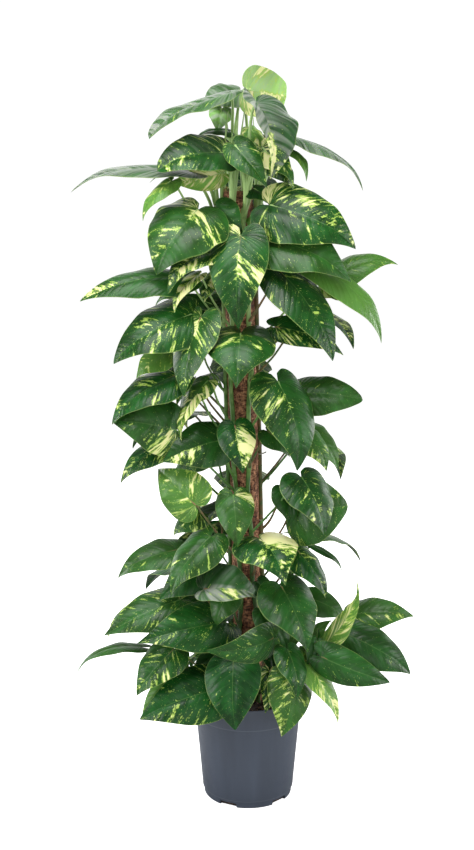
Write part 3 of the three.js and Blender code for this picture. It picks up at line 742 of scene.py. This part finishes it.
LEAVES = [
    # Crown, above the pole.
    leaf([-6, -8, 1380], [68, 26, 1369], 92, -95, fold=0.1, vine=5, cream=(0.45, 0.5), tone=1.25,
         full=2.6, cup=0.3, twist=0, droop=0.05, bend=0, bloom=(0.1, 0.3),
         sectors=[(-1, 0.3, 0.9, 0.3)]),
    leaf([-34, -42, 1368], [-184, -100, 1304], 88, 0, 0.03, 0.32, vine=0, cream=(0.2, 0.0), tone=0.1,
         twist=0.2, full=1.9, droop=0.12, bloom=(0.3, 0.8)),
    leaf([-40, -50, 1263], [-160, -110, 1243], 98, -32, 0.08, 0.25, vine=1, cream=(0.2, 0.35), full=2.0,
         droop=0.15, bloom=(0, 0.12), sectors=[(1, 0.3, 0.45, 0.5), (-1, 0.75, 0.9, 0.4)]),
    leaf([13, -66, 1350], [48, -121, 1222], 120, -18, fold=0.6, vine=3, cream=(0.05, 0.05), tone=0.02,
         full=0.9, twist=0, bloom=(0.45, 0.9),
         sectors=[(1, 0.68, 1.0, 0.85), (1, 0, 0.1, 0.8), (-1, 0.8, 1.0, 0.6)]),
    leaf([74, 15, 1297], [218, -35, 1210], 80, 12, 0.08, 0.2, vine=4, cream=(0.05, 0.1),
         bloom=(0.4, 0.5)),
    leaf([-108, -40, 1230], [-333, -20, 1210], 105, -5, 0.07, 0.12, rise=130, cream=(0.1, 0.1),
         bloom=(0.5, 0.7)),
    # Upper tier.
    leaf([-93, -68, 1162], [-170, -128, 1056], 148, -30, fold=0.2, cream=(0.08, 0.35), full=0.9,
         sectors=[(-1, 0.42, 0.58, 0.75), (1, 0.28, 0.4, 0.35), (1, 0.08, 0.2, 0.45)]),
    leaf([-15, -108, 1114], [-22, -150, 952], 110, 0, 0.08, vine=2, cream=(0.25, 0.25),
         sectors=[(1, 0.0, 0.16, 0.8), (-1, 0.55, 0.68, 0.6)]),
    leaf([38, -70, 1170], [195, -100, 1100], 125, 45, fold=0.25, cream=(0.5, 0.15), full=0.8,
         sectors=[(-1, 0.05, 0.3, 0.5), (1, 0.34, 0.44, 0.5), (1, 0.6, 0.72, 0.3)]),
    leaf([26, -60, 1105], [185, -110, 1042], 120, 40, 0.14, 0.2, vine=3, cream=(0.1, 0.22), full=0.5,
         sectors=[(1, 0.2, 0.3, 0.4)]),
    leaf([55, -75, 1052], [155, -130, 895], 110, 20, cream=(0.3, 0.3), full=0.9, tone=0.02),
    leaf([127, -60, 1055], [252, -60, 920], 75, 40, 0.16, cream=(0, 0), tone=0.4),
    leaf([-118, -72, 1040], [-310, -90, 1000], 88, -25, 0.08, cream=(0.1, 0.05), full=0.6,
         sectors=[(1, 0.75, 1.0, 0.6), (-1, 0.8, 1.0, 0.3)]),
    # Middle tier.
    leaf([-105, -75, 972], [-249, -120, 892], 120, -35, fold=0.2, cream=(0.3, 0.3), full=0.9,
         sectors=[(-1, 0.6, 0.72, 0.3)]),
    leaf([-15, -97, 939], [-24, -178, 853], 130, 0, 0.14, lobe=2.3, cream=(0.2, 0.3),
         sectors=[(1, 0.35, 0.5, 0.4)]),
    leaf([-135, -75, 859], [-255, -120, 780], 95, -25, fold=0.2, cream=(0.25, 0.38), full=0.6),
    leaf([-141, -90, 757], [-253, -120, 780], 105, -60, 0.08, cream=(0.25, 0.08), tone=0.08, full=1.0,
         sectors=[(-1, 0.3, 0.6, 0.5)]),
    leaf([-50, -70, 735], [-159, -110, 703], 95, -45, cream=(0.15, 0.05), full=0.8,
         sectors=[(-1, 0.66, 0.95, 0.6)]),
    leaf([54, -90, 849], [96, -140, 694], 120, 10, cream=(0.1, 0.25), full=0.7, twist=0,
         sectors=[(1, 0.2, 0.26, 0.3), (1, 0.38, 0.45, 0.45), (1, 0.56, 0.62, 0.35)]),
    leaf([93, -40, 819], [214, -60, 812], 86, 50, 0.08, cream=(0.2, 0.1), tone=0.1, full=1.5, droop=0.05,
         bend=0, sectors=[(-1, 0.0, 0.14, 0.8)]),
    leaf([99, -90, 668], [141, -130, 569], 108, 10, cream=(0.2, 0.3), full=0.8),
    leaf([-100, -110, 620], [-176, -60, 680], 95, -20, 0.08, cream=(0.4, 0.45), tone=0.35),
    leaf([-72, -100, 556], [-150, -140, 460], 90, -15, cream=(0.3, 0.2)),
    # Lower tier.
    leaf([-138, -50, 516], [-254, -70, 475], 75, -30, 0.08, 0.2, cream=(0.25, 0.1), tone=0.1),
    leaf([20, -95, 552], [68, -180, 495], 126, 5, 0.12, cream=(0.5, 0.4), sectors=[(-1, 0.15, 0.6, 0.8)]),
    leaf([62, -100, 459], [112, -160, 351], 115, 10, cream=(0.25, 0.2)),
    leaf([140, -60, 316], [216, -124, 477], 58, 0, 0.05, 0.4, rise=100, cream=(0.55, 0.6), tone=0.5),
    leaf([211, 20, 363], [332, 10, 368], 75, 50, 0.08, cream=(0.1, 0.3), tone=0.15),
    leaf([190, -50, 347], [324, -60, 272], 95, 45, cream=(0.1, 0.12)),
    leaf([139, -118, 325], [270, -130, 278], 70, 45, 0.08, vine=3, cream=(0.0, 0.05)),
    leaf([112, -104, 316], [184, -150, 205], 65, 5, 0.08, vine=3, cream=(0.32, 0.3), tone=0.5,
         sectors=[(1, 0.62, 1.0, 0.35), (-1, 0.72, 1.0, 0.35)]),
    leaf([82, -115, 288], [64, -150, 177], 90, 0, cream=(0.35, 0.5), tone=0.15),
    leaf([-29, -120, 316], [-26, -165, 198], 108, 0, cream=(0.12, 0.1), tone=0.0),
    leaf([-55, -110, 258], [-206, -150, 214], 114, -40, cream=(0.35, 0.3)),
    leaf([-142, -110, 338], [-212, -150, 262], 82, -30, cream=(0.4, 0.3), tone=0.05),
    leaf([-211, -60, 324], [-340, -60, 274], 45, 0, 0.15, 0.2, cream=(0, 0), tone=0.1),
    leaf([-43, -80, 381], [-208, -150, 366], 110, -35, cream=(0.35, 0.25)),
    leaf([-132, -70, 422], [-276, -110, 366], 95, -35, cream=(0.3, 0.35)),
    # Rear, from the top down.
    leaf([10, 60, 1300], [60, 190, 1230], 100, 0, fold=0.2),
    leaf([-60, 60, 1150], [-150, 160, 1075], 105, 0, fold=0.2),
    leaf([40, 85, 1110], [120, 210, 1010], 115, 0),
    leaf([-60, 85, 1010], [-120, 215, 900], 115, 0),
    leaf([90, 60, 978], [220, 130, 900], 105, 0, fold=0.2),
    leaf([-15, 95, 880], [-5, 225, 770], 120, 0),
    leaf([-110, 60, 765], [-240, 130, 690], 110, 0, fold=0.2),
    leaf([105, 80, 720], [205, 190, 620], 115, 0),
    leaf([-10, 95, 640], [-30, 230, 540], 115, 0),
    leaf([100, 60, 520], [240, 130, 450], 105, 0, fold=0.2),
    leaf([-95, 80, 450], [-220, 190, 370], 110, 0),
    leaf([20, 105, 380], [50, 240, 280], 120, 0),
]

# Smaller leaves that fill in between the large ones on the front and the sides.
FILLING = [
    # Crown.
    leaf([-20, 45, 1382], [-82, 25, 1364], 72, -80, fold=0.1, vine=0, cream=(0, 0), full=1.6,
         bloom=(0.5, 0.5)),
    leaf([-50, 30, 1349], [-59, 10, 1306], 46, -90, vine=0, cream=(0.2, 0.2), tone=0.7, bloom=(0.5, 0.5)),
    leaf([-39, 10, 1306], [-98, -10, 1294], 50, -30, vine=0, cream=(0.1, 0.1)),
    leaf([-26, -72, 1276], [33, -105, 1203], 59, 35, 0.08, 0.2, vine=3, cream=(0.3, 0.35)),
    leaf([16, -45, 1272], [75, -60, 1202], 64, 45, 0.12, vine=3, cream=(0.6, 0.5)),
    leaf([2, -20, 1309], [26, -40, 1269], 42, 20, fold=0.2, vine=4, cream=(0.5, 0.5), tone=0.5),
    leaf([66, 10, 1275], [110, -10, 1216], 35, 30, 0.2, 0.2, vine=4, cream=(0.2, 0.3), tone=0.45),
    leaf([-50, -25, 1228], [-146, -35, 1212], 54, -90, 0.08, 0.1, vine=1, cream=(0.7, 0.75), tone=0.9),
    leaf([-90, -20, 1228], [-184, -30, 1221], 42, -10, 0.06, 0.2, vine=1, cream=(0, 0), tone=0.2),
    leaf([-142, -60, 1213], [-195, -90, 1144], 49, -20, 0.12, vine=1, cream=(0.4, 0.4), tone=0.45),
    leaf([13, -40, 1200], [44, -60, 1171], 49, 20, fold=0.1, cream=(0, 0)),
    leaf([10, -20, 1148], [52, -40, 1119], 46, 30, fold=0.1, vine=4, cream=(0.3, 0.3), tone=0.55),
    leaf([-64, -62, 1164], [-13, -80, 1114], 67, 25, fold=0.1, cream=(0.1, 0.1)),
    # Upper tier.
    leaf([-60, -75, 1084], [-150, -125, 1030], 68, -25, 0.14, cream=(0.6, 0.5), full=1.2, droop=0.22),
    leaf([-93, -85, 1044], [-139, -110, 981], 42, -10, 0.12, 0.2, cream=(0.75, 0.6), tone=0.1),
    leaf([-66, -60, 1043], [-84, -75, 996], 46, -10, fold=0.1, cream=(0.55, 0.5)),
    leaf([-70, -40, 988], [-133, -30, 1002], 34, -20, cream=(0, 0)),
    leaf([147, 0, 1034], [283, 10, 1071], 74, 40, 0.08, 0.2, cream=(0.3, 0.3), tone=0.3),
    leaf([138, -20, 1018], [195, -20, 988], 50, 30, fold=0.1, cream=(0.7, 0.7), tone=0.3),
    leaf([50, -60, 947], [178, -70, 899], 60, 45, cream=(0.2, 0.4)),
    # Middle tier.
    leaf([-140, -45, 904], [-207, -60, 853], 76, -35, fold=0.1, cream=(0.35, 0.4), tone=0.45),
    leaf([-88, -92, 968], [-122, -130, 828], 98, 0, fold=0.1, cream=(0.3, 0.4), twist=0,
         sectors=[(1, 0.45, 0.6, 0.3), (-1, 0.5, 0.62, 0.35)]),
    leaf([-122, -55, 842], [-140, -75, 756], 66, 0, fold=0.05, cream=(0.3, 0.45)),
    leaf([-98, -90, 826], [-131, -110, 744], 40, 0, fold=0.1, cream=(0.75, 0.6), tone=0.1),
    leaf([-76, -75, 848], [-111, -95, 796], 48, -15, 0.15, 0.2, cream=(0.5, 0.4), tone=0.12),
    leaf([-145, -60, 727], [-245, -90, 663], 67, -30, fold=0.2, cream=(0.4, 0.35)),
    leaf([-26, -100, 769], [-11, -135, 686], 72, 0, cream=(0.35, 0.25), sectors=[(-1, 0.5, 0.9, 0.5)]),
    leaf([35, -50, 749], [80, -60, 702], 53, 30, fold=0.1, cream=(0.15, 0.1)),
    leaf([103, -50, 749], [150, -70, 677], 64, 30, cream=(0.3, 0.5), tone=0.15),
    leaf([125, -25, 752], [186, -40, 675], 61, 35, cream=(0.15, 0.15), tone=0.2),
    leaf([69, -55, 637], [81, -75, 568], 60, 10, fold=0.1, cream=(0.15, 0.1)),
    leaf([84, -50, 593], [186, -75, 610], 136, 62, fold=0.1, cream=(0.3, 0.3), tone=0.1, full=1.6),
    leaf([124, -20, 517], [188, -30, 472], 23, 20, fold=0.1, cream=(0, 0)),
    leaf([-29, -98, 636], [-22, -132, 545], 73, 0, 0.08, 0.12, cream=(0.4, 0.25), tone=0.12,
         sectors=[(-1, 0.3, 0.45, 0.5)]),
    leaf([-94, -70, 594], [-143, -80, 554], 56, -25, fold=0.1, cream=(0.5, 0.5)),
    leaf([98, -75, 521], [155, -110, 441], 67, 25, cream=(0.25, 0.35)),
    # Lower tier.
    leaf([-79, -70, 484], [-172, -95, 430], 78, -35, cream=(0.1, 0.1)),
    leaf([-84, -118, 459], [23, -112, 442], 92, -2, 0.14, 0.5, cream=(0.0, 0.25), twist=0, cup=0.2,
         tone=0.04, vine=1, bloom=(0.1, 0.9), sectors=[(1, 0.45, 0.8, 0.25)]),
    leaf([20, -95, 463], [50, -125, 441], 38, 30, fold=0.1, cream=(0, 0)),
    leaf([-40, -50, 314], [-113, -70, 276], 57, -20, cream=(0, 0)),
    leaf([131, -95, 349], [112, -108, 304], 38, 0, cream=(0, 0)),
    leaf([135, -40, 335], [172, -40, 371], 30, 20, cream=(0.1, 0.1), tone=0.3),
    leaf([94, -60, 364], [73, -66, 312], 34, 0, cream=(0.1, 0.1), tone=0.2),
    leaf([38, -60, 322], [48, -66, 262], 38, 0, cream=(0, 0)),
    leaf([42, -60, 385], [74, -75, 318], 42, 20, cream=(0, 0)),
    leaf([-36, -75, 440], [-64, -98, 378], 62, -10, 0.12, 0.1, cream=(0.2, 0.1), tone=0.12),
    leaf([128, -40, 416], [204, -50, 377], 64, 40, cream=(0, 0), tone=0.1),
    leaf([26, -85, 405], [52, -100, 342], 45, 20, fold=0.1, cream=(0, 0)),
    leaf([114, -70, 317], [138, -80, 367], 37, 20, fold=0.1, cream=(0, 0)),
    leaf([168, -40, 347], [140, -40, 371], 29, 20, fold=0.1, cream=(0.1, 0.1), tone=0.4),
    leaf([74, -118, 340], [92, -168, 260], 62, 0, cream=(0.15, 0.2)),
    leaf([41, -95, 286], [33, -125, 214], 37, 0, fold=0.1, cream=(0.6, 0.6)),
    leaf([-124, -85, 284], [-206, -120, 203], 55, -30, 0.12, cream=(0.3, 0.3), tone=0.45),
    leaf([-187, -45, 416], [-279, -70, 352], 53, -30, cream=(0.55, 0.6)),
    leaf([45, -105, 360], [-79, -170, 356], 73, -50, 0.16, 0.2, cream=(0.25, 0.25)),
    leaf([26, -60, 1266], [84, -84, 1203], 64, 8, vine=3, cream=(0.35, 0.2), tone=0.1,
         sectors=[(1, 0.4, 0.7, 0.5)]),
    leaf([-79, -25, 428], [-141, -35, 396], 52, -60, 0.08, 0.1, cream=(0.05, 0.1)),
    leaf([79, -40, 928], [94, -46, 911], 24, 20, fold=0.1, vine=3, rise=88, cream=(0.1, 0.1), age=1),
]

# A grown plant's blades slide past each other. One that would cut through a blade placed before
# it moves a little in or out, in mm, or turns, in degrees, until it is clear.
NUDGES = [(shift, turn) for shift in (0, 6, -6, 12, -12, 20, -20) for turn in (0, 9, -9)]
placed = []
blade_trees = []


def clearest(rows, number, fault=lambda row: 0):
    """The first row without a fault whose blade cuts through none before it, or else the row
    with the least of both, with its count and its tree."""
    best = None
    for row in rows:
        tree = BVHTree.FromPolygons([tuple(spot) for spot in blade_spots(row, number)], pattern_faces)
        count = sum(1 for other in blade_trees if tree.overlap(other)) + fault(row)
        if best is None or count < best[0]:
            best = (count, row, tree)
        if count == 0:
            break
    return best


def place_leaf(row, number, tree):
    """Makes the blade, and notes its row, its vine and the height at which it springs."""
    height, vine = leaf_node(row)
    make_blade(f"leaf_{number:03d}", f"vine_{vine + 1}", row, number)
    blade_trees.append(tree)
    placed.append((row, height, vine))


for number, row in enumerate(LEAVES + FILLING, 1):
    outward = beside_pole(row["base"]).normalized()
    nudged = (dict(row, base=row["base"] + outward * shift, tip=row["tip"] + outward * shift,
                   roll=row["roll"] + turn) for shift, turn in NUDGES)
    _, moved, tree = clearest(nudged, number)
    place_leaf(moved, number, tree)

# Behind, leaves spread evenly up the pole, but leave open the places where light shows through
# beside it, given as (left, low, right, high) in mm on the plane of the pole, seen from the front.
OPEN_PLACES = [(-99, 745, -45, 818), (30, 850, 185, 895), (24, 562, 82, 765),
               (-98, 600, -62, 650), (-185, 1172, -67, 1207)]
EYE = Vector((-22, -2300, 1150))  # of a viewer in front, in mm


def shades_open_place(row, number):
    """Whether a blade hides part of an open place."""
    for x, y, z in blade_spots(row, number)[::5]:
        scale = -EYE.y / (y - EYE.y)
        side, level = EYE.x + (x - EYE.x) * scale, EYE.z + (z - EYE.z) * scale
        if any(left < side < right and low < level < high for left, low, right, high in OPEN_PLACES):
            return True
    return False


REAR_LEAVES = 30
TRIES = 40  # for each of them
LOWEST_REAR = 285  # mm
REAR_SPAN = 1000  # mm up from there
LEVEL_STEP = 0.618  # of that span from one leaf to the next, which spreads any number evenly
REAR_LIMIT = 225  # how far back and how low a rear leaf's tip may come, in mm
LOW_LIMIT = 215
OPEN_FAULT = 10  # how many crossings weigh as much as an open place that is shaded
draw = random.Random(77)


def rear_rows(level):
    """Leaves drawn at random near a height behind the pole."""
    for _ in range(TRIES):
        bearing = math.radians(180 + draw.uniform(-80, 80))
        fall = math.radians(draw.uniform(25, 70))
        length = draw.uniform(95, 140)
        out = heading(bearing)
        base = out * draw.uniform(48, 95) + pole_axis(level)
        tip = base + out * length * math.cos(fall) - Vector((0, 0, length * math.sin(fall)))
        row = leaf(base, tip, length * draw.uniform(0.75, 0.9), draw.uniform(-30, 30),
                   draw.uniform(0.06, 0.14), draw.uniform(0.12, 0.22))
        if tip.y <= REAR_LIMIT and tip.z >= LOW_LIMIT:
            yield row


for step in range(REAR_LEAVES):
    number = len(placed) + 1
    level = LOWEST_REAR + REAR_SPAN * ((step * LEVEL_STEP) % 1)
    count, row, tree = clearest(
        rear_rows(level), number, lambda row: OPEN_FAULT * shades_open_place(row, number))
    if count < OPEN_FAULT:
        place_leaf(row, number, tree)
bpy.data.objects.remove(pattern)

# ---- Vines ----------------------------------------------------------------------------------
# Six fleshy stems climb the sleeve, some green and some browned. Each leaf's petiole springs from
# a swollen node, and short brown aerial roots grip the coir beside it.

# Fleshy stem tissue: satin, with ribs 1 mm apart along it, and darker in patches where it is old.
old_stem, tree = new_material("ribbed green stem")
place = add_node(tree, "TexCoord").outputs["Object"]
height = add_node(tree, "SeparateXYZ", {"Vector": place})
youth = add_node(tree, "MapRange", {
    "Value": height.outputs["Z"], "From Min": 0.25, "From Max": 1.25})
blotches = add_node(tree, "TexNoise", {"Vector": place, "Scale": 45.0, "Detail": 3.0})
young_share = add_node(tree, "Math", {0: youth, 1: 0.15}, operation="SUBTRACT")
patchy = add_node(tree, "Math", {0: blotches, 1: 0.8, 2: young_share}, operation="MULTIPLY_ADD")
greener = add_node(tree, "ValToRGB", {"Fac": patchy})
ramp = greener.color_ramp
ramp.elements[0].position, ramp.elements[0].color = 0.15, linear("#3c4a22")
ramp.elements[1].position, ramp.elements[1].color = 1.0, linear("#9abb70")
for position, colour in ((0.45, "#3d6129"), (0.75, "#578639")):
    ramp.elements.new(position).color = linear(colour)
ribs_place = add_node(tree, "Mapping", {"Vector": place, "Scale": (900, 900, 25)})
ribs = add_node(tree, "TexNoise", {"Vector": ribs_place, "Scale": 1.0})
rib_bump = add_node(tree, "Bump", {"Height": ribs, "Strength": 0.35, "Distance": 0.0005})
shader = add_node(tree, "BsdfPrincipled", {
    "Base Color": greener, "Roughness": 0.42, "IOR": 1.45, "Normal": rib_bump})
add_node(tree, "OutputMaterial", {"Surface": shader})

# Older stems and petioles brown, and turn dull where they cork over, in patches 17 mm wide.
browned, tree = new_material("browned old stem")
place = add_node(tree, "TexCoord").outputs["Object"]
corking = add_node(tree, "TexNoise", {"Vector": place, "Scale": 60.0, "Detail": 5.0})
corked = add_node(tree, "MapRange", {"Value": corking, "From Min": 0.35, "From Max": 0.65})
stem_tint = add_node(tree, "Mix", {0: corked, 6: "#45602c", 7: "#80613f"}, data_type="RGBA")
cork_bump = add_node(tree, "Bump", {"Height": corking, "Strength": 0.5, "Distance": 0.0006})
shader = add_node(tree, "BsdfPrincipled", {
    "Base Color": stem_tint, "Roughness": 0.6, "Normal": cork_bump})
add_node(tree, "OutputMaterial", {"Surface": shader})

# Dried aerial root: matt and corky, flaking every 2 or 3 mm.
root_bark, tree = new_material("corky aerial root")
place = add_node(tree, "TexCoord").outputs["Object"]
flaking = add_node(tree, "TexNoise", {"Vector": place, "Scale": 400.0, "Detail": 3.0})
root_tint = add_node(tree, "Mix", {0: flaking, 6: "#4a3120", 7: "#94704c"}, data_type="RGBA")
shader = add_node(tree, "BsdfPrincipled", {"Base Color": root_tint, "Roughness": 0.85})
add_node(tree, "OutputMaterial", {"Surface": shader})


def outward_at(vine, z):
    """Which way the vine lies from the pole at a height: along its course, a little wavering."""
    return heading(math.radians(vine_bearing(vine, z) + 3.5 * math.sin(z / 27 + 2.3 * vine)))


def vine_point(vine, z):
    """The vine's axis at a height, in mm."""
    return outward_at(vine, z) * VINE_REACH + pole_axis(z)


def start_tubes(smoothness, *skins):
    """An empty curve for round tubes, whose points carry their radii in mm."""
    select_only()
    bpy.ops.curve.primitive_bezier_curve_add()
    curve = bpy.context.object.data
    curve.splines.clear()
    curve.dimensions = "3D"
    curve.bevel_depth = 0.001
    curve.bevel_resolution = 2
    curve.resolution_u = smoothness
    curve.use_fill_caps = True
    for skin in skins:
        curve.materials.append(skin)
    return curve


def grow_tube(curve, points, radii, skin=0):
    """A round tube along points, in mm, with a radius at each."""
    spline = curve.splines.new("BEZIER")
    spline.bezier_points.add(len(points) - 1)
    spline.material_index = skin
    for knot, point, radius in zip(spline.bezier_points, points, radii):
        knot.co = point / 1000
        knot.radius = radius
        knot.handle_left_type = knot.handle_right_type = "AUTO"


def finish_tubes(name, node, slot_name):
    """Makes the tubes one smooth mesh piece."""
    bpy.ops.object.convert(target="MESH")
    bpy.ops.object.shade_smooth()
    settle(bpy.context.object, name, node, slot_name)


FURLED = [  # where each vine's furled shoots end, in mm
    [(-44, -18, 1318)],
    [(-38, -34, 1338), (-30, -8, 1300), (-64, -24, 1282)],
    [(-19, -36, 1336), (-31, -44, 1300), (-8, -26, 1345)],
    [(1, -30, 1322), (15, -40, 1290)],
    [(8, 2, 1330), (22, -10, 1296)],
    [(-24, 14, 1325)],
]
GREEN, BARK, BROWN = range(3)  # the skins' places on a stem
GREEN_VINES = (1, 2, 3)  # whose stems haven't browned
BROWN_BELOW = 1130  # mm, under which petioles are old enough to brown
BROWN_SHARE = 0.5  # of them
ROOT_REACH = 28.9  # from the pole's axis to a root on the felt, mm
up = Vector((0, 0, 1))
draw = random.Random(41)
for vine in range(len(VINE_BEARINGS)):
    curve = start_tubes(6, old_stem, root_bark, browned)
    own = [(row, height) for row, height, owner in placed if owner == vine]
    nodes = sorted(height for _, height in own)
    girth = {SOIL_TOP * 1000 - 5: 5.0, VINE_TOP - 3.0: 4.2, VINE_TOP: 3.0}  # radius by height
    for z in range(int(SOIL_TOP * 1000) + 12, VINE_TOP - 10, 24):
        if all(abs(z - node) > 10 for node in nodes):
            girth[z] = 4.4
    for node in nodes:
        girth[node] = 5.2
        for side in (-7, 7):
            if all(abs(node + side - other) > 5 for other in nodes if other != node):
                girth[node + side] = 4.3
    levels = sorted(girth)
    grow_tube(curve, [vine_point(vine, z) for z in levels], [girth[z] for z in levels],
              GREEN if vine in GREEN_VINES else BROWN)

    for row, height in own:
        start = vine_point(vine, height)
        out = outward_at(vine, height)
        # The petiole arches out of its sheath and runs in under the midrib.
        join = midrib_point(row, 1.0, 0.9)
        span = (join - start).length
        if join.z > POLE_TOP * 1000 + 20:
            bend = start + out * 9 + (join - start) * 0.25
            bend.z = start.z + 0.6 * (join.z - start.z)
            points = [start, start + out * 9 + up * 14, bend]
            radii = [4.2, 4.0, 3.3, 2.4, 1.5, 0.5]
        else:
            points = [start, start + out * 8 + up * 6,
                      start.lerp(join, 0.5) + up * 0.03 * span + out * 0.06 * span]
            radii = [3.6, 2.6, 1.9, 2.0, 1.4, 0.5]
        points += [join, midrib_point(row, 8.0, 0.6), midrib_point(row, 22.0, 0.1)]
        brown = join.z < BROWN_BELOW and draw.random() < row.get("age", BROWN_SHARE)
        grow_tube(curve, points, radii, BROWN if brown else GREEN)

    # The crown's youngest leaves are still furled on upright shoots.
    for top in FURLED[vine]:
        foot = vine_point(vine, VINE_TOP - 30)
        mid = foot.lerp(Vector(top), 0.5) + outward_at(vine, VINE_TOP) * 4
        grow_tube(curve, [foot, mid, Vector(top)], [3.6, 3.4, 0.6], GREEN)

    # Aerial roots leave the stem just below each node and wander over the felt.
    for z in nodes + [z + 17 for z in nodes]:
        for _ in range(draw.choice((1, 2))):
            turn = draw.choice((-1, 1)) * draw.uniform(0.25, 0.75)
            climb = draw.uniform(-9, 9)
            path = []
            for part in (0, 0.35, 0.7, 1):
                bearing = math.radians(vine_bearing(vine, z)) + turn * part
                reach = ROOT_REACH - 0.4 * part if part else VINE_REACH - 0.4
                path.append(heading(bearing) * reach + pole_axis(z - 4 + climb * part))
            grow_tube(curve, path, [1.1, 0.9, 0.7, 0.3], BARK)

    finish_tubes(f"vine_{vine + 1}_stem", f"vine_{vine + 1}", "foliage")

# ---- Stem ties ------------------------------------------------------------------------------
# Two lengths of garden wire in a pale plastic coat. Each is bent round one stem, its ends are
# pushed into the felt, and a second strand is twisted on to its front.

# Extruded plastic coat: pale, smooth and a little grimy, in specks 3 mm wide.
coated_wire, tree = new_material("pale plastic wire coat")
place = add_node(tree, "TexCoord").outputs["Object"]
grime = add_node(tree, "TexNoise", {"Vector": place, "Scale": 300.0, "Detail": 3.0})
coat_tint = add_node(tree, "Mix", {0: grime, 6: "#b9b5a6", 7: "#efece2"}, data_type="RGBA")
shader = add_node(tree, "BsdfPrincipled", {"Base Color": coat_tint, "Roughness": 0.4, "IOR": 1.5})
add_node(tree, "OutputMaterial", {"Surface": shader})

TIE_VINE = 4
TIE_HEIGHTS = (565, 695)  # mm, as are the sizes below
WIRE_RADIUS = 0.7
HALF_LOOP = 118  # degrees that a tie runs round its stem to each side of the front
LOOP_RADIUS = 6.1
TWIST_PITCH = 1.3  # radians from one point of a twisted strand to the next
TWIST_RADIUS = 0.75
TIE_POINTS = 13  # along each strand
for number, height in enumerate(TIE_HEIGHTS, 1):
    wire = start_tubes(4, coated_wire)
    middle, facing = vine_point(TIE_VINE, height), vine_bearing(TIE_VINE, height)
    out = outward_at(TIE_VINE, height)
    aside = Vector((-out.y, out.x, 0))
    strands = [[middle + heading(math.radians(facing + (i / 6 - 1) * HALF_LOOP)) * LOOP_RADIUS
                for i in range(TIE_POINTS)]]
    for start in (0, math.pi):
        turns = [start + TWIST_PITCH * i for i in range(TIE_POINTS)]
        strands.append([
            middle + out * (6.2 + 0.55 * i) + aside * TWIST_RADIUS * math.cos(turn)
            + up * (TWIST_RADIUS * math.sin(turn) + 0.25 * i) for i, turn in enumerate(turns)])
    for strand in strands:
        grow_tube(wire, strand, [WIRE_RADIUS] * TIE_POINTS)
    finish_tubes(f"tie_{number}_wire", f"stem_tie_{number}", "tie")

# ---- Floor, light and camera ----------------------------------------------------------------
# A plain pale studio floor, lit softly from overhead, the front and both sides, and from a pale
# backdrop and wings that rim the leaves and the pot.

select_only()
bpy.ops.mesh.primitive_circle_add(
    vertices=96, radius=20, fill_type="NGON", location=(0, 0, -0.0004))
floor = bpy.context.object
floor.name = "studio_floor"

# Matt paper: seen by the camera it is all but white, and it throws only part of that back up.
pale, tree = new_material("pale studio floor")
bright = add_node(tree, "BsdfPrincipled", {
    "Base Color": "#f4f4f4", "Roughness": 0.8, "Emission Color": "#ffffff",
    "Emission Strength": 0.85})
bounce = add_node(tree, "BsdfDiffuse", {"Color": "#b8b8b8"})
seen = add_node(tree, "LightPath").outputs["Is Camera Ray"]
shader = add_node(tree, "MixShader", {0: seen, 1: bounce, 2: bright})
add_node(tree, "OutputMaterial", {"Surface": shader})
floor.data.materials.append(pale)

# The surround is seen as white, and lights the plant only faintly, as a dark room would.
world = bpy.data.worlds.new("pale surround")
bpy.context.scene.world = world
world.use_nodes = True
tree = world.node_tree
tree.nodes.clear()
white = add_node(tree, "Background", {"Color": "#ffffff", "Strength": 1.05})
lighting = add_node(tree, "Background", {"Color": "#ffffff", "Strength": 0.2})
seen = add_node(tree, "LightPath").outputs["Is Camera Ray"]
surround = add_node(tree, "MixShader", {0: seen, 1: lighting, 2: white})
add_node(tree, "OutputWorld", {"Surface": surround})


def soft_panel(name, place, aim, size, watts):
    """A square light that faces a point."""
    light = bpy.data.lights.new(name, "AREA")
    light.shape = "SQUARE"
    light.size = size
    light.energy = watts
    panel = bpy.data.objects.new(name, light)
    panel.location = place
    panel.rotation_euler = (Vector(aim) - Vector(place)).to_track_quat("-Z", "Y").to_euler()
    bpy.context.collection.objects.link(panel)


soft_panel("overhead panel", (-0.4, -0.8, 2.75), (0, 0, 0.8), 1.6, 64)
soft_panel("left panel", (-2.4, -1.6, 1.3), (0, 0, 0.6), 1.4, 52)
soft_panel("right panel", (2.6, -1.2, 1.2), (0, 0, 0.6), 1.4, 42)
soft_panel("front fill", (0.7, -3.6, 1.0), (0, 0, 0.6), 2.0, 26)
soft_panel("backdrop glow", (0, 2.6, 1.9), (0, 0, 0.9), 3.0, 40)
soft_panel("left wing", (-2.2, 1.1, 0.8), (0, 0, 0.7), 1.6, 42)
soft_panel("right wing", (2.2, 1.1, 0.8), (0, 0, 0.7), 1.6, 42)

camera_data = bpy.data.cameras.new("camera")
camera_data.lens = 51.1
camera_data.sensor_width = 36
camera = bpy.data.objects.new("camera", camera_data)
camera.location = (-0.022, -2.3, 1.15)
camera.rotation_euler = (math.radians(90 - 9.83), 0, 0)
bpy.context.collection.objects.link(camera)
bpy.context.scene.camera = camera
bpy.context.scene.view_settings.view_transform = "Standard"
